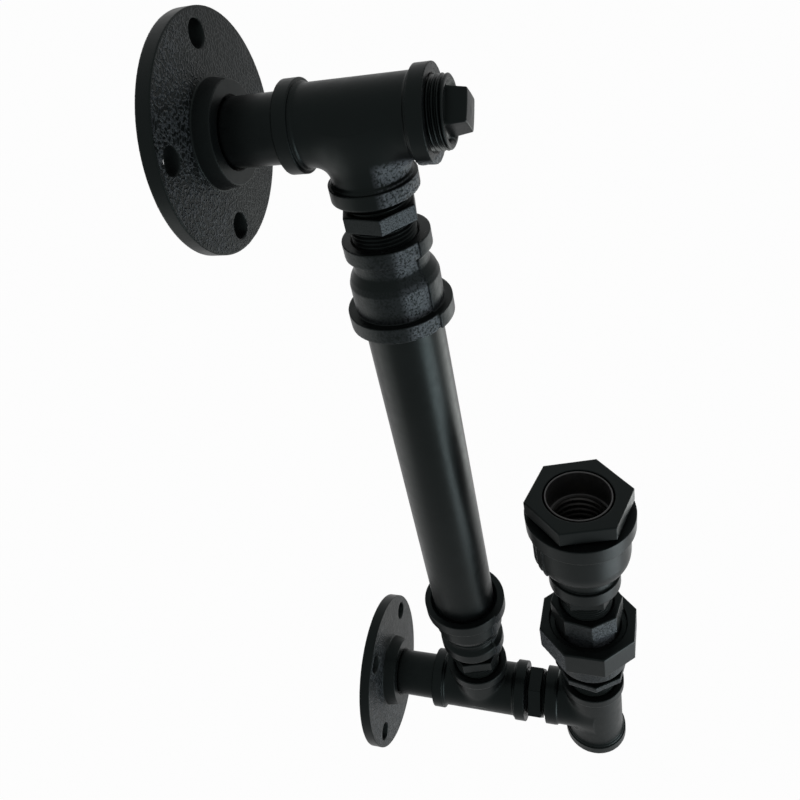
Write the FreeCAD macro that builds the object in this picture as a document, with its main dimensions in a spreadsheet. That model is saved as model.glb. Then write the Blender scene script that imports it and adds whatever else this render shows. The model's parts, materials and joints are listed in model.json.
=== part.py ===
"""Wall light built from malleable iron pipe fittings, as a parametric document.

Two round flanges on the wall carry short pipes into a vertical run of tees,
reducing sockets and pipe. The lower tee reaches out to a corner tee, on which
a union holds the upright lamp head. Millimetres, +X out of the wall, +Z up,
origin at the wall face in the middle of the upper flange.
"""
import FreeCAD, Part
import math
import os
import re

import Sketcher

SIZES = {
    # Where the runs lie
    "flange_spacing": 368.5,
    "main_reach": 64.5,

    # Pipe threads: core radius of the plain cylinders that stand for them
    "small_core": 12.06,
    "large_core": 15.15,
    "head_core": 19.48,
    "small_depth": 15.0,
    "large_depth": 17.0,
    "thread_grip": 11.5,
    "mouth_flare": 1.5,

    # Wall flanges
    "flange_radius": 46.75,
    "flange_thickness": 6.1,
    "flange_rim_bevel": 0.8,
    "hub_base_radius": 21.4,
    "hub_face_radius": 19.9,
    "hub_height": 13.2,
    "hub_foot": 1.4,
    "hub_edge": 0.6,
    "bolt_edge": 9.5,
    "bolt_hole": 11.0,
    "bolt_count": 4,
    "upper_flange_turn": 10.2,
    "lower_flange_turn": -28.0,

    # Pipes
    "stub_radius": 13.45,
    "stub_bore": 10.8,
    "stub_inset": 0.8,
    "main_radius": 16.75,
    "main_bore": 13.65,
    "shoulder_gap": 0.4,
    "shoulder_run": 1.0,

    # Tees
    "tee_reach": 28.0,
    "tee_bead_radius": 17.5,
    "tee_bead_width": 6.0,
    "tee_body_radius": 15.4,
    "tee_collar_rise": 0.8,
    "tee_collar_width": 0.9,
    "tee_neck_run": 0.7,
    "tee_relief": 0.64,
    "corner_reach": 28.1,
    "corner_branch_reach": 26.7,
    "corner_bead_radius": 17.3,
    "corner_branch_bead": 16.6,
    "corner_bead_width": 5.6,
    "corner_body_radius": 15.7,

    # Square-headed plug
    "plug_stand": 5.7,
    "plug_recess": 2.0,
    "plug_recess_radius": 10.9,
    "plug_head_base": 14.4,
    "plug_head_end": 12.0,
    "plug_head_height": 9.2,
    "plug_bevel": 1.1,
    "plug_turn": 3.0,

    # Hexagon nipples
    "nipple_across": 28.0,
    "nipple_bore": 9.4,
    "upper_nipple_gap": 5.0,
    "upper_nipple_hex": 6.8,
    "upper_nipple_stand": 6.9,
    "lower_nipple_gap": 7.1,
    "lower_nipple_hex": 7.0,
    "lower_nipple_stand": 7.2,
    "arm_nipple_gap": 2.05,
    "arm_nipple_hex": 7.5,
    "arm_nipple_stand": 2.6,
    "head_nipple_gap": 9.0,
    "head_nipple_hex": 6.5,
    "head_nipple_stand": 1.5,
    "hex_edge_round": 0.5,

    # Reducing sockets of the main run
    "reducer_length": 39.2,
    "reducer_bead_radius": 17.6,
    "reducer_bead_width": 6.6,
    "reducer_bead_fall": 2.25,
    "reducer_neck_radius": 15.2,
    "reducer_neck_end": 13.0,
    "reducer_flare_end": 19.4,
    "reducer_body_radius": 18.4,
    "mould_shift": 0.9,
    "mould_turn": -28.0,
    "reducer_rim_radius": 21.8,
    "reducer_rim_width": 7.0,
    "reducer_mouth_gap": 1.85,
    "reducer_mouth_depth": 2.5,

    # Union between corner tee and lamp head
    "union_stand": 13.0,
    "union_base_across": 36.0,
    "union_base_height": 4.4,
    "union_neck_radius": 15.8,
    "union_neck_run": 3.0,
    "union_thread_radius": 19.4,
    "union_thread_rise": 10.0,
    "union_seat_rise": 31.6,
    "union_bore": 9.6,
    "gasket_inner": 11.5,
    "gasket_outer": 16.4,
    "gasket_thickness": 1.5,
    "nut_across": 48.6,
    "nut_height": 15.5,
    "nut_recess_radius": 20.0,
    "nut_recess_depth": 2.0,
    "nut_lip": 2.5,
    "nut_clearance": 0.08,
    "tail_flange_clearance": 0.7,
    "tail_flange_thickness": 2.4,
    "tail_neck_radius": 16.7,
    "tail_across": 34.0,
    "tail_octagon_height": 12.9,
    "tail_neck_height": 9.3,
    "joint_gap": 0.2,

    # Lamp head: large reducing socket and bushing
    "head_length": 51.3,
    "head_foot_radius": 17.8,
    "head_foot_width": 8.0,
    "head_neck_radius": 16.4,
    "head_neck_drop": 5.1,
    "head_bowl_foot": 20.4,
    "head_bowl_rise": 1.4,
    "head_bowl_stand": 4.8,
    "head_bowl_radius": 23.3,
    "head_bowl_curve": 14.0,
    "head_rim_radius": 26.0,
    "head_rim_width": 8.8,
    "head_rib_rise": 0.55,
    "head_rib_width": 1.1,
    "head_rib_root": 1.0,
    "head_rib_count": 3,
    "head_rib_spacing": 10.0,
    "head_rib_turn": -154.5,
    "head_thread_depth": 20.0,
    "head_cavity_relief": 0.32,
    "head_floor_clearance": 0.4,
    "head_cone_height": 4.5,
    "bushing_across": 44.3,
    "bushing_hex": 8.2,
    "bushing_stand": 2.1,
    "bushing_thread": 17.0,
    "bushing_clearance": 0.85,

    # Lampholder
    "sleeve_radius": 15.75,
    "sleeve_wall": 0.85,
    "sleeve_depth": 15.0,
    "holder_clearance": 1.08,
    "holder_step": 1.0,
    "holder_shoulder": 3.0,
    "holder_floor": 1.0,
    "holder_base": 3.4,
    "shell_bore": 13.3,
    "shell_wall": 0.5,
    "shell_length": 19.5,
    "shell_floor_hole": 7.0,
    "contact_width": 6.0,
    "contact_clearance": 1.2,
    "contact_thickness": 0.6,
    "terminal_width": 5.0,
    "terminal_height": 2.4,
    "terminal_offset": 8.2,
    "terminal_screw_radius": 1.5,
    "terminal_screw_length": 3.0,
    "base_screw_radius": 1.6,
    "base_screw_head": 2.8,
    "base_screw_circle": 14.2,
    "base_screw_head_height": 1.4,

    # Orientation of the forged and cast pieces about their own axes, degrees
    "upper_nipple_turn": -13.0,
    "lower_nipple_turn": -103.0,
    "arm_nipple_turn": 30.0,
    "head_nipple_turn": -111.0,
    "bushing_turn": 15.6,
    "union_base_turn": -77.6,
    "nut_turn": -112.6,
    "tail_turn": -76.9,
}

# Values that follow from the sizes above, written as expressions of them
FOLLOWING = {
    "bolt_circle": "2 * (flange_radius - bolt_edge)",
    "tee_cavity": "small_core + tee_relief",
    "reducer_mouth_radius": "main_radius + reducer_mouth_gap",
    "tail_flange_radius": "union_thread_radius - tail_flange_clearance",
    "head_cavity_radius": "head_core + head_cavity_relief",
    "bushing_bore": "sleeve_radius + bushing_clearance",
    "holder_shoulder_radius": "head_core - holder_clearance",
    "holder_body_radius": "holder_shoulder_radius - holder_step",
    "holder_depth": "sleeve_depth + shell_length + holder_floor",
    "contact_length": "2 * (shell_floor_hole - contact_clearance)",
    "lamp_reach": "main_reach + tee_reach + arm_nipple_gap + arm_nipple_hex + arm_nipple_stand"
                  " + corner_branch_reach",
    "tee_wall_end": "main_reach - tee_reach",
    "tee_room_end": "main_reach + tee_reach",
    "upper_socket_top": "-(tee_reach + upper_nipple_gap + upper_nipple_hex + upper_nipple_stand)",
    "upper_socket_mouth": "upper_socket_top - reducer_length",
    "lower_tee_top": "tee_reach - flange_spacing",
    "lower_socket_foot": "lower_tee_top + lower_nipple_stand + lower_nipple_hex + lower_nipple_gap",
    "lower_socket_mouth": "lower_socket_foot + reducer_length",
    "corner_top": "corner_reach - flange_spacing",
    "union_base_foot": "corner_top + union_stand",
    "union_seat": "union_base_foot + union_seat_rise",
    "tail_foot": "union_seat + gasket_thickness + joint_gap",
    "nut_lip_under": "tail_foot + tail_flange_thickness + joint_gap",
    "nut_top": "nut_lip_under + nut_lip + nut_recess_depth",
    "tail_octagon_foot": "tail_foot + tail_flange_thickness + tail_neck_height",
    "tail_top": "tail_octagon_foot + tail_octagon_height",
    "head_foot": "tail_top + head_nipple_gap + head_nipple_hex + head_nipple_stand",
    "head_top": "head_foot + head_length",
    "bushing_foot": "head_top + bushing_stand",
    "bushing_top": "bushing_foot + bushing_hex",
    "holder_foot": "bushing_top - holder_depth",
    "shell_top": "bushing_top - sleeve_depth",
    "shell_foot": "shell_top - shell_length",
    "base_foot": "holder_foot - holder_base",
    "head_neck_end": "base_foot - head_foot - head_neck_drop",
    "head_bowl_height": "base_foot - head_foot + head_bowl_stand",
    "head_cavity_floor": "base_foot - head_foot - head_floor_clearance",
}

doc = FreeCAD.newDocument("pipe_wall_light")
sheet = doc.addObject("Spreadsheet::Sheet", "Sizes")
for row, (name, value) in enumerate(list(SIZES.items()) + list(FOLLOWING.items()), start=1):
    sheet.set("A%d" % row, name)
    sheet.set("B%d" % row, str(value) if name in SIZES else "=" + value)
    sheet.setAlias("B%d" % row, name)
doc.recompute()

UPRIGHT = FreeCAD.Rotation()
OUTWARD = FreeCAD.Rotation(FreeCAD.Vector(0, 1, 0), 90)
INVERTED = FreeCAD.Rotation(FreeCAD.Vector(1, 0, 0), 180)
PIECES = []


def worth(size):
    """The number that an expression of sheet sizes stands for."""
    return float(sheet.evalExpression(str(size)))


def bound(size):
    """The same expression as other objects of the document read it."""
    known = set(SIZES) | set(FOLLOWING)
    return re.sub(r"[a-z_]\w*", lambda word: ("Sizes." if word.group() in known else "") + word.group(), str(size))


def new_body(label, at=("0", "0", "0"), rotation=UPRIGHT):
    """A named body whose place follows the sheet."""
    made = doc.addObject("PartDesign::Body", label)
    made.Label = label
    made.Placement = FreeCAD.Placement(FreeCAD.Vector(*[worth(size) for size in at]), rotation)
    for axis, size in zip("xyz", at):
        made.setExpression("Placement.Base." + axis, bound(size))
    PIECES.append(made)
    return made


def new_sketch(body, name, role="XZ_Plane", height=None, turn=None, shift=None):
    """A sketch on an origin plane of the body, which can be raised, turned or shifted sideways."""
    sketch = body.newObject("Sketcher::SketchObject", body.Label + "_" + name)
    plane = next(item for item in body.Origin.OriginFeatures if item.Role == role)
    sketch.AttachmentSupport = [(plane, "")]
    sketch.MapMode = "FlatFace"
    if height is not None:
        sketch.setExpression("AttachmentOffset.Base.z", bound(height))
    if turn is not None:
        upright = FreeCAD.Rotation(FreeCAD.Vector(0, 1, 0), 0)
        sketch.AttachmentOffset = FreeCAD.Placement(FreeCAD.Vector(), upright)
        sketch.setExpression("AttachmentOffset.Rotation.Angle", bound(turn))
    if shift is not None:
        sketch.setExpression("AttachmentOffset.Base.x", bound(shift))
    return sketch


def hold(sketch, line, end, across, up):
    """Tie one end of a line to the sketch origin by two bound distances."""
    for kind, axis, size in (("DistanceX", -2, across), ("DistanceY", -1, up)):
        if size == "0":
            sketch.addConstraint(Sketcher.Constraint("PointOnObject", line, end, axis))
        else:
            index = sketch.addConstraint(Sketcher.Constraint(kind, -1, 1, line, end, worth(size)))
            sketch.setExpression("Constraints[%d]" % index, bound(size))


def arc_middle(start, end, radius):
    """Middle of an arc between two points; a positive radius bulges to the right of the way."""
    chord = end - start
    half = chord.Length / 2
    rise = abs(radius) - math.sqrt(max(radius * radius - half * half, 0.0))
    side = FreeCAD.Vector(chord.y, -chord.x, 0).normalize()
    return (start + end) / 2 + side * math.copysign(rise, radius)


def draw(sketch, corners):
    """Closed outline through bound corners; a third entry curves the side that follows."""
    places = [FreeCAD.Vector(worth(corner[0]), worth(corner[1]), 0) for corner in corners]
    first = sketch.GeometryCount
    ends = []
    for index, corner in enumerate(corners):
        start = places[index]
        end = places[(index + 1) % len(corners)]
        if len(corner) == 3:
            line = sketch.addGeometry(Part.Arc(start, arc_middle(start, end, worth(corner[2])), end))
            forward = (sketch.getPoint(line, 1) - start).Length < (sketch.getPoint(line, 2) - start).Length
            ends.append((1, 2) if forward else (2, 1))
        else:
            line = sketch.addGeometry(Part.LineSegment(start, end))
            ends.append((1, 2))
    for index, corner in enumerate(corners):
        following = (index + 1) % len(corners)
        sketch.addConstraint(Sketcher.Constraint("Coincident", first + index, ends[index][1],
                                                 first + following, ends[following][0]))
        hold(sketch, first + index, ends[index][0], corner[0], corner[1])
    for index, corner in enumerate(corners):
        if len(corner) == 3:
            size = corner[2].lstrip("-")
            curve = sketch.addConstraint(Sketcher.Constraint("Radius", first + index, worth(size)))
            sketch.setExpression("Constraints[%d]" % curve, bound(size))


def turned(body, name, corners, axis="V_Axis", cut=False, angle="360", start=None, shift=None):
    """A revolution of an outline, added to the body or cut from it."""
    sketch = new_sketch(body, name + "_outline", turn=start, shift=shift)
    draw(sketch, corners)
    kind = "PartDesign::Groove" if cut else "PartDesign::Revolution"
    feature = body.newObject(kind, body.Label + "_" + name)
    feature.Profile = sketch
    feature.ReferenceAxis = (sketch, [axis])
    feature.setExpression("Angle", bound(angle))
    return feature


def polygon(sketch, sides, across, turn):
    """Regular outline held by its size across the flats, one corner at the given turn."""
    reach = "%s / 2 / cos(180 / %d)" % (across, sides)
    middle = sketch.addGeometry(Part.Circle(FreeCAD.Vector(), FreeCAD.Vector(0, 0, 1), corner_reach(across, sides)))
    sketch.toggleConstruction(middle)
    sketch.addConstraint(Sketcher.Constraint("Coincident", middle, 3, -1, 1))
    size = sketch.addConstraint(Sketcher.Constraint("Radius", middle, corner_reach(across, sides)))
    sketch.setExpression("Constraints[%d]" % size, bound(reach))
    angles = [math.radians(worth(turn) + 360.0 * index / sides) for index in range(sides + 1)]
    radius = corner_reach(across, sides)
    points = [FreeCAD.Vector(radius * math.cos(angle), radius * math.sin(angle), 0) for angle in angles]
    lines = [sketch.addGeometry(Part.LineSegment(points[index], points[index + 1])) for index in range(sides)]
    for index, line in enumerate(lines):
        sketch.addConstraint(Sketcher.Constraint("Coincident", line, 2, lines[(index + 1) % sides], 1))
        sketch.addConstraint(Sketcher.Constraint("PointOnObject", line, 1, middle))
    for line in lines[1:]:
        sketch.addConstraint(Sketcher.Constraint("Equal", lines[0], line))
    steep = abs(points[0].y) > abs(points[0].x)
    kind, place, share = ("DistanceX", points[0].x, "cos") if steep else ("DistanceY", points[0].y, "sin")
    lean = sketch.addConstraint(Sketcher.Constraint(kind, -1, 1, lines[0], 1, place))
    sketch.setExpression("Constraints[%d]" % lean, bound("%s * %s(%s)" % (reach, share, turn)))


def corner_reach(across, sides):
    """Distance from the middle of a regular outline to its corners."""
    return worth(across) / 2 / math.cos(math.pi / sides)


def pad(body, name, sides, across, turn, foot, height):
    """A prism on the body's axis, standing from foot to foot plus height."""
    sketch = new_sketch(body, name + "_outline", "XY_Plane", foot)
    polygon(sketch, sides, across, turn)
    feature = body.newObject("PartDesign::Pad", body.Label + "_" + name)
    feature.Profile = sketch
    feature.setExpression("Length", bound(height))
    return feature


def dress_edges(body, kind, name, size, wanted):
    """Fillet or chamfer the edges of the body's present shape that the test picks."""
    doc.recompute()
    base = body.Tip
    names = ["Edge%d" % (index + 1) for index, edge in enumerate(base.Shape.Edges) if wanted(edge)]
    feature = body.newObject(kind, body.Label + "_" + name)
    feature.Base = (base, names)
    feature.setExpression("Radius" if kind == "PartDesign::Fillet" else "Size", bound(size))
    return feature


def round_corners(body, sides, across):
    """Round the upright edges of a prism on the body's axis."""
    dress_edges(body, "PartDesign::Fillet", "corner_round", "hex_edge_round", prism_corner(sides, across))


def prism_corner(sides, across):
    """Test for a straight edge along Z at the corners of a prism."""
    def wanted(edge):
        if edge.Curve.TypeId != "Part::GeomLine":
            return False
        start, end = [vertex.Point for vertex in edge.Vertexes]
        reach = math.hypot(start.x, start.y)
        return abs(start.z - end.z) > 1.0 and abs(reach - corner_reach(across, sides)) < 1e-4
    return wanted


def wall_flange(label, height, turn):
    """Round flange with a tapered hub, a threaded bore and four bolt holes."""
    flange = new_body(label, ("0", "0", height))
    turned(flange, "disc", [
        ("0", "small_core"),
        ("0", "flange_radius"),
        ("flange_thickness - flange_rim_bevel", "flange_radius"),
        ("flange_thickness", "flange_radius - flange_rim_bevel"),
        ("flange_thickness", "hub_base_radius + hub_foot"),
        ("flange_thickness + hub_foot", "hub_base_radius"),
        ("hub_height - hub_edge", "hub_face_radius"),
        ("hub_height", "hub_face_radius - hub_edge"),
        ("hub_height", "small_core + mouth_flare"),
        ("hub_height - mouth_flare", "small_core"),
    ], axis="H_Axis")
    doc.recompute()
    sketch = new_sketch(flange, "bolt_hole_outline", "YZ_Plane")
    across = "bolt_circle / 2 * sin(%s)" % turn
    up = "bolt_circle / 2 * cos(%s)" % turn
    hole = sketch.addGeometry(Part.Circle(FreeCAD.Vector(worth(across), worth(up), 0),
                                          FreeCAD.Vector(0, 0, 1), worth("bolt_hole / 2")))
    hold(sketch, hole, 3, across, up)
    size = sketch.addConstraint(Sketcher.Constraint("Diameter", hole, worth("bolt_hole")))
    sketch.setExpression("Constraints[%d]" % size, bound("bolt_hole"))
    pocket = flange.newObject("PartDesign::Pocket", label + "_bolt_hole")
    pocket.Profile = sketch
    pocket.SideType = "Symmetric"
    pocket.setExpression("Length", bound("2 * hub_height"))
    ring = flange.newObject("PartDesign::PolarPattern", label + "_bolt_holes")
    ring.Originals = [pocket]
    ring.Axis = (sketch, ["N_Axis"])
    ring.Angle = 360
    ring.setExpression("Occurrences", bound("bolt_count"))
    flange.Tip = ring


def stub_pipe(label, height):
    """Short pipe from a wall flange into the tee, threaded at both ends."""
    pipe = new_body(label, ("stub_inset", "0", height), OUTWARD)
    inner = "hub_height + shoulder_gap - stub_inset"
    outer = "tee_wall_end - shoulder_gap - stub_inset"
    end = "tee_wall_end + thread_grip - stub_inset"
    turned(pipe, "tube", [
        ("stub_bore", "0"),
        ("small_core", "0"),
        ("small_core", inner),
        ("stub_radius", inner),
        ("stub_radius", outer),
        ("small_core", outer),
        ("small_core", end),
        ("stub_bore", end),
    ])


def tee(label, at, rotation, reach, branch_reach, bead_radius, branch_bead, bead_width, body_radius):
    """Cast tee: run along X, branch towards -Z, beaded ends, three threaded mouths."""
    casting = new_body(label, at, rotation)
    collar = body_radius + " + tee_collar_rise"
    turned(casting, "run", [
        ("-%s" % reach, "0"),
        ("-%s" % reach, bead_radius),
        ("-(%s - %s)" % (reach, bead_width), bead_radius),
        ("-(%s - %s)" % (reach, bead_width), collar),
        ("-(%s - %s - tee_collar_width)" % (reach, bead_width), collar),
        ("-(%s - %s - tee_collar_width - tee_neck_run)" % (reach, bead_width), body_radius),
        ("%s - %s - tee_collar_width - tee_neck_run" % (reach, bead_width), body_radius),
        ("%s - %s - tee_collar_width" % (reach, bead_width), collar),
        ("%s - %s" % (reach, bead_width), collar),
        ("%s - %s" % (reach, bead_width), bead_radius),
        (reach, bead_radius),
        (reach, "0"),
    ], axis="H_Axis")
    turned(casting, "branch", [
        ("0", "0"),
        (body_radius, "0"),
        (body_radius, "-(%s - %s - tee_collar_width - tee_neck_run)" % (branch_reach, bead_width)),
        (collar, "-(%s - %s - tee_collar_width)" % (branch_reach, bead_width)),
        (collar, "-(%s - %s)" % (branch_reach, bead_width)),
        (branch_bead, "-(%s - %s)" % (branch_reach, bead_width)),
        (branch_bead, "-%s" % branch_reach),
        ("0", "-%s" % branch_reach),
    ])
    turned(casting, "run_bore", [
        ("-%s" % reach, "0"),
        ("-%s" % reach, "small_core + mouth_flare"),
        ("-(%s - mouth_flare)" % reach, "small_core"),
        ("-(%s - small_depth)" % reach, "small_core"),
        ("-(%s - small_depth)" % reach, "tee_cavity"),
        ("%s - small_depth" % reach, "tee_cavity"),
        ("%s - small_depth" % reach, "small_core"),
        ("%s - mouth_flare" % reach, "small_core"),
        (reach, "small_core + mouth_flare"),
        (reach, "0"),
    ], axis="H_Axis", cut=True)
    turned(casting, "branch_bore", [
        ("0", "0"),
        ("small_core", "0"),
        ("small_core", "-(%s - mouth_flare)" % branch_reach),
        ("small_core + mouth_flare", "-%s" % branch_reach),
        ("0", "-%s" % branch_reach),
    ], cut=True)


def square_plug():
    """Solid plug with a recessed face round a tapered square head."""
    plug = new_body("tee_plug", ("tee_room_end", "0", "0"), OUTWARD)
    turned(plug, "thread", [
        ("0", "-thread_grip"),
        ("small_core", "-thread_grip"),
        ("small_core", "plug_stand"),
        ("plug_recess_radius", "plug_stand"),
        ("plug_recess_radius", "plug_stand - plug_recess"),
        ("0", "plug_stand - plug_recess"),
    ])
    foot = new_sketch(plug, "head_foot", "XY_Plane", "plug_stand - plug_recess")
    polygon(foot, 4, "plug_head_base", "plug_turn")
    end = new_sketch(plug, "head_end", "XY_Plane", "plug_stand - plug_recess + plug_head_height")
    polygon(end, 4, "plug_head_end", "plug_turn")
    head = plug.newObject("PartDesign::AdditiveLoft", "tee_plug_head")
    head.Profile = foot
    head.Sections = [end]
    dress_edges(plug, "PartDesign::Chamfer", "head_bevel", "plug_bevel",
                lambda edge: all(vertex.Point.z > worth("plug_stand + plug_bevel") for vertex in edge.Vertexes))


def hex_nipple(label, at, rotation, lower_gap, hexagon, upper_gap, turn):
    """Hexagon between two threads; its origin is the foot of the lower gap."""
    nipple = new_body(label, at, rotation)
    top = "%s + %s + %s + thread_grip" % (lower_gap, hexagon, upper_gap)
    turned(nipple, "threads", [
        ("nipple_bore", "-thread_grip"),
        ("small_core", "-thread_grip"),
        ("small_core", top),
        ("nipple_bore", top),
    ])
    pad(nipple, "hexagon", 6, "nipple_across", turn, lower_gap, hexagon)
    round_corners(nipple, 6, "nipple_across")
    bore_through(nipple, "nipple_bore", "-thread_grip", top)


def bore_through(body, radius, low, high):
    """Clear a round way along the axis of a body."""
    turned(body, "bore", [
        ("0", low),
        (radius, low),
        (radius, high),
        ("0", high),
    ], cut=True)


def reducing_socket(label, height, rotation, fixed_start, shifted_start):
    """Cast socket from its small mouth to its rim, one half shifted along the parting line."""
    socket = new_body(label, ("main_reach", "0", height), rotation)
    turned(socket, "fixed_half", socket_outline(), angle="180", start=fixed_start)
    turned(socket, "shifted_half", socket_outline(), angle="180", start=shifted_start, shift="mould_shift")
    turned(socket, "threads", [
        ("0", "0"),
        ("small_core + mouth_flare", "0"),
        ("small_core", "mouth_flare"),
        ("small_core", "small_depth"),
        ("large_core", "reducer_length - large_depth"),
        ("large_core", "reducer_length - reducer_mouth_depth"),
        ("reducer_mouth_radius", "reducer_length"),
        ("0", "reducer_length"),
    ], cut=True)


def socket_outline():
    """Outline of a reducing socket before its threads are cut."""
    body_end = "reducer_length - reducer_rim_width"
    return [
        ("0", "0"),
        ("reducer_bead_radius", "0"),
        ("reducer_bead_radius", "reducer_bead_width"),
        ("reducer_neck_radius", "reducer_bead_width + reducer_bead_fall"),
        ("reducer_neck_radius", "reducer_neck_end"),
        ("reducer_body_radius", "reducer_flare_end"),
        ("reducer_body_radius", body_end),
        ("reducer_rim_radius", body_end),
        ("reducer_rim_radius", "reducer_length"),
        ("0", "reducer_length"),
    ]


def main_pipe():
    """Large pipe between the two reducing sockets."""
    sunk = "lower_socket_mouth - thread_grip"
    pipe = new_body("main_pipe", ("main_reach", "0", sunk))
    length = "upper_socket_mouth - lower_socket_mouth + 2 * thread_grip"
    turned(pipe, "tube", [
        ("main_bore", "0"),
        ("large_core", "0"),
        ("large_core", "thread_grip - shoulder_run"),
        ("main_radius", "thread_grip - shoulder_run"),
        ("main_radius", "%s - thread_grip + shoulder_run" % length),
        ("large_core", "%s - thread_grip + shoulder_run" % length),
        ("large_core", length),
        ("main_bore", length),
    ])


def union():
    """Flat-seated union: threaded foot, gasket, captive tail and octagonal nut."""
    base = new_body("union_bottom_piece", ("lamp_reach", "0", "union_base_foot"))
    turned(base, "stem", [
        ("union_bore", "-(union_stand + thread_grip)"),
        ("small_core", "-(union_stand + thread_grip)"),
        ("small_core", "0"),
        ("union_neck_radius", "0"),
        ("union_neck_radius", "union_base_height + union_neck_run"),
        ("union_thread_radius", "union_thread_rise"),
        ("union_thread_radius", "union_seat_rise"),
        ("union_bore", "union_seat_rise"),
    ])
    pad(base, "octagon", 8, "union_base_across", "union_base_turn", "0", "union_base_height")
    round_corners(base, 8, "union_base_across")
    bore_through(base, "union_bore", "-(union_stand + thread_grip)", "union_seat_rise")

    gasket = new_body("union_gasket", ("lamp_reach", "0", "union_seat"))
    turned(gasket, "ring", [
        ("gasket_inner", "0"),
        ("gasket_outer", "0"),
        ("gasket_outer", "gasket_thickness"),
        ("gasket_inner", "gasket_thickness"),
    ])

    nut = new_body("union_nut", ("lamp_reach", "0", "nut_top - nut_height"))
    pad(nut, "octagon", 8, "nut_across", "nut_turn", "0", "nut_height")
    round_corners(nut, 8, "nut_across")
    lip_under = "nut_height - nut_recess_depth - nut_lip"
    turned(nut, "thread", [
        ("0", "0"),
        ("union_thread_radius + nut_clearance", "0"),
        ("union_thread_radius + nut_clearance", lip_under),
        ("tail_neck_radius + joint_gap", lip_under),
        ("tail_neck_radius + joint_gap", "nut_height - nut_recess_depth"),
        ("nut_recess_radius", "nut_height - nut_recess_depth"),
        ("nut_recess_radius", "nut_height"),
        ("0", "nut_height"),
    ], cut=True)

    tail = new_body("union_tail_piece", ("lamp_reach", "0", "tail_foot"))
    octagon_foot = "tail_flange_thickness + tail_neck_height"
    octagon_top = "tail_flange_thickness + tail_neck_height + tail_octagon_height"
    turned(tail, "collar", [
        ("0", "0"),
        ("tail_flange_radius", "0"),
        ("tail_flange_radius", "tail_flange_thickness"),
        ("tail_neck_radius", "tail_flange_thickness"),
        ("tail_neck_radius", octagon_foot),
        ("0", octagon_foot),
    ])
    pad(tail, "octagon", 8, "tail_across", "tail_turn", octagon_foot, "tail_octagon_height")
    round_corners(tail, 8, "tail_across")
    turned(tail, "thread", [
        ("0", "0"),
        ("union_bore", "0"),
        ("union_bore", "%s - small_depth" % octagon_top),
        ("small_core", "%s - small_depth" % octagon_top),
        ("small_core", "%s - mouth_flare" % octagon_top),
        ("small_core + mouth_flare", octagon_top),
        ("0", octagon_top),
    ], cut=True)


def head_socket():
    """Large reducing socket that houses the lampholder."""
    head = new_body("head_reducing_socket", ("lamp_reach", "0", "head_foot"))
    turned(head, "casting", [
        ("0", "0"),
        ("head_foot_radius", "0"),
        ("head_foot_radius", "head_foot_width"),
        ("head_neck_radius", "head_foot_width"),
        ("head_neck_radius", "head_neck_end"),
        ("head_bowl_foot", "head_neck_end + head_bowl_rise", "head_bowl_curve"),
        ("head_bowl_radius", "head_bowl_height"),
        ("head_bowl_radius", "head_length - head_rim_width"),
        ("head_rim_radius", "head_length - head_rim_width"),
        ("head_rim_radius", "head_length"),
        ("0", "head_length"),
    ])
    ribs = range(int(worth("head_rib_count")))
    for side, half in (("near", 0), ("far", 180)):
        for number in ribs:
            turn = "head_rib_turn + %d + %d * head_rib_spacing" % (half, number)
            head_rib(head, "%s_rib_%d" % (side, number + 1), turn)
    turned(head, "cavity", [
        ("0", "0"),
        ("small_core + mouth_flare", "0"),
        ("small_core", "mouth_flare"),
        ("small_core", "head_cavity_floor - head_cone_height"),
        ("head_cavity_radius", "head_cavity_floor"),
        ("head_cavity_radius", "head_length - head_thread_depth"),
        ("head_core", "head_length - head_thread_depth"),
        ("head_core", "head_length - mouth_flare"),
        ("head_core + mouth_flare", "head_length"),
        ("0", "head_length"),
    ], cut=True)


def head_rib(head, name, turn):
    """Low rib that follows the bowl up to the rim, narrow in its turn."""
    root = "head_bowl_foot - head_rib_root"
    foot = "head_neck_end + head_bowl_rise"
    top = "head_length - head_rim_width"
    turned(head, name, [
        (root, foot),
        ("head_bowl_foot + head_rib_rise", foot, "head_bowl_curve"),
        ("head_bowl_radius + head_rib_rise", "head_bowl_height"),
        ("head_bowl_radius + head_rib_rise", top),
        ("head_bowl_radius - head_rib_root", top),
    ], angle="head_rib_width / head_bowl_radius * 180 / pi", start=turn)


def hex_bushing():
    """Hexagon bushing screwed into the head, with the lampholder's sleeve in its bore."""
    bushing = new_body("hex_bushing", ("lamp_reach", "0", "bushing_foot"))
    turned(bushing, "thread", [
        ("bushing_bore", "-(bushing_stand + bushing_thread)"),
        ("head_core", "-(bushing_stand + bushing_thread)"),
        ("head_core", "bushing_hex / 2"),
        ("bushing_bore", "bushing_hex / 2"),
    ])
    pad(bushing, "hexagon", 6, "bushing_across", "bushing_turn", "0", "bushing_hex")
    round_corners(bushing, 6, "bushing_across")
    bore_through(bushing, "bushing_bore", "-(bushing_stand + bushing_thread)", "bushing_hex")


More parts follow.
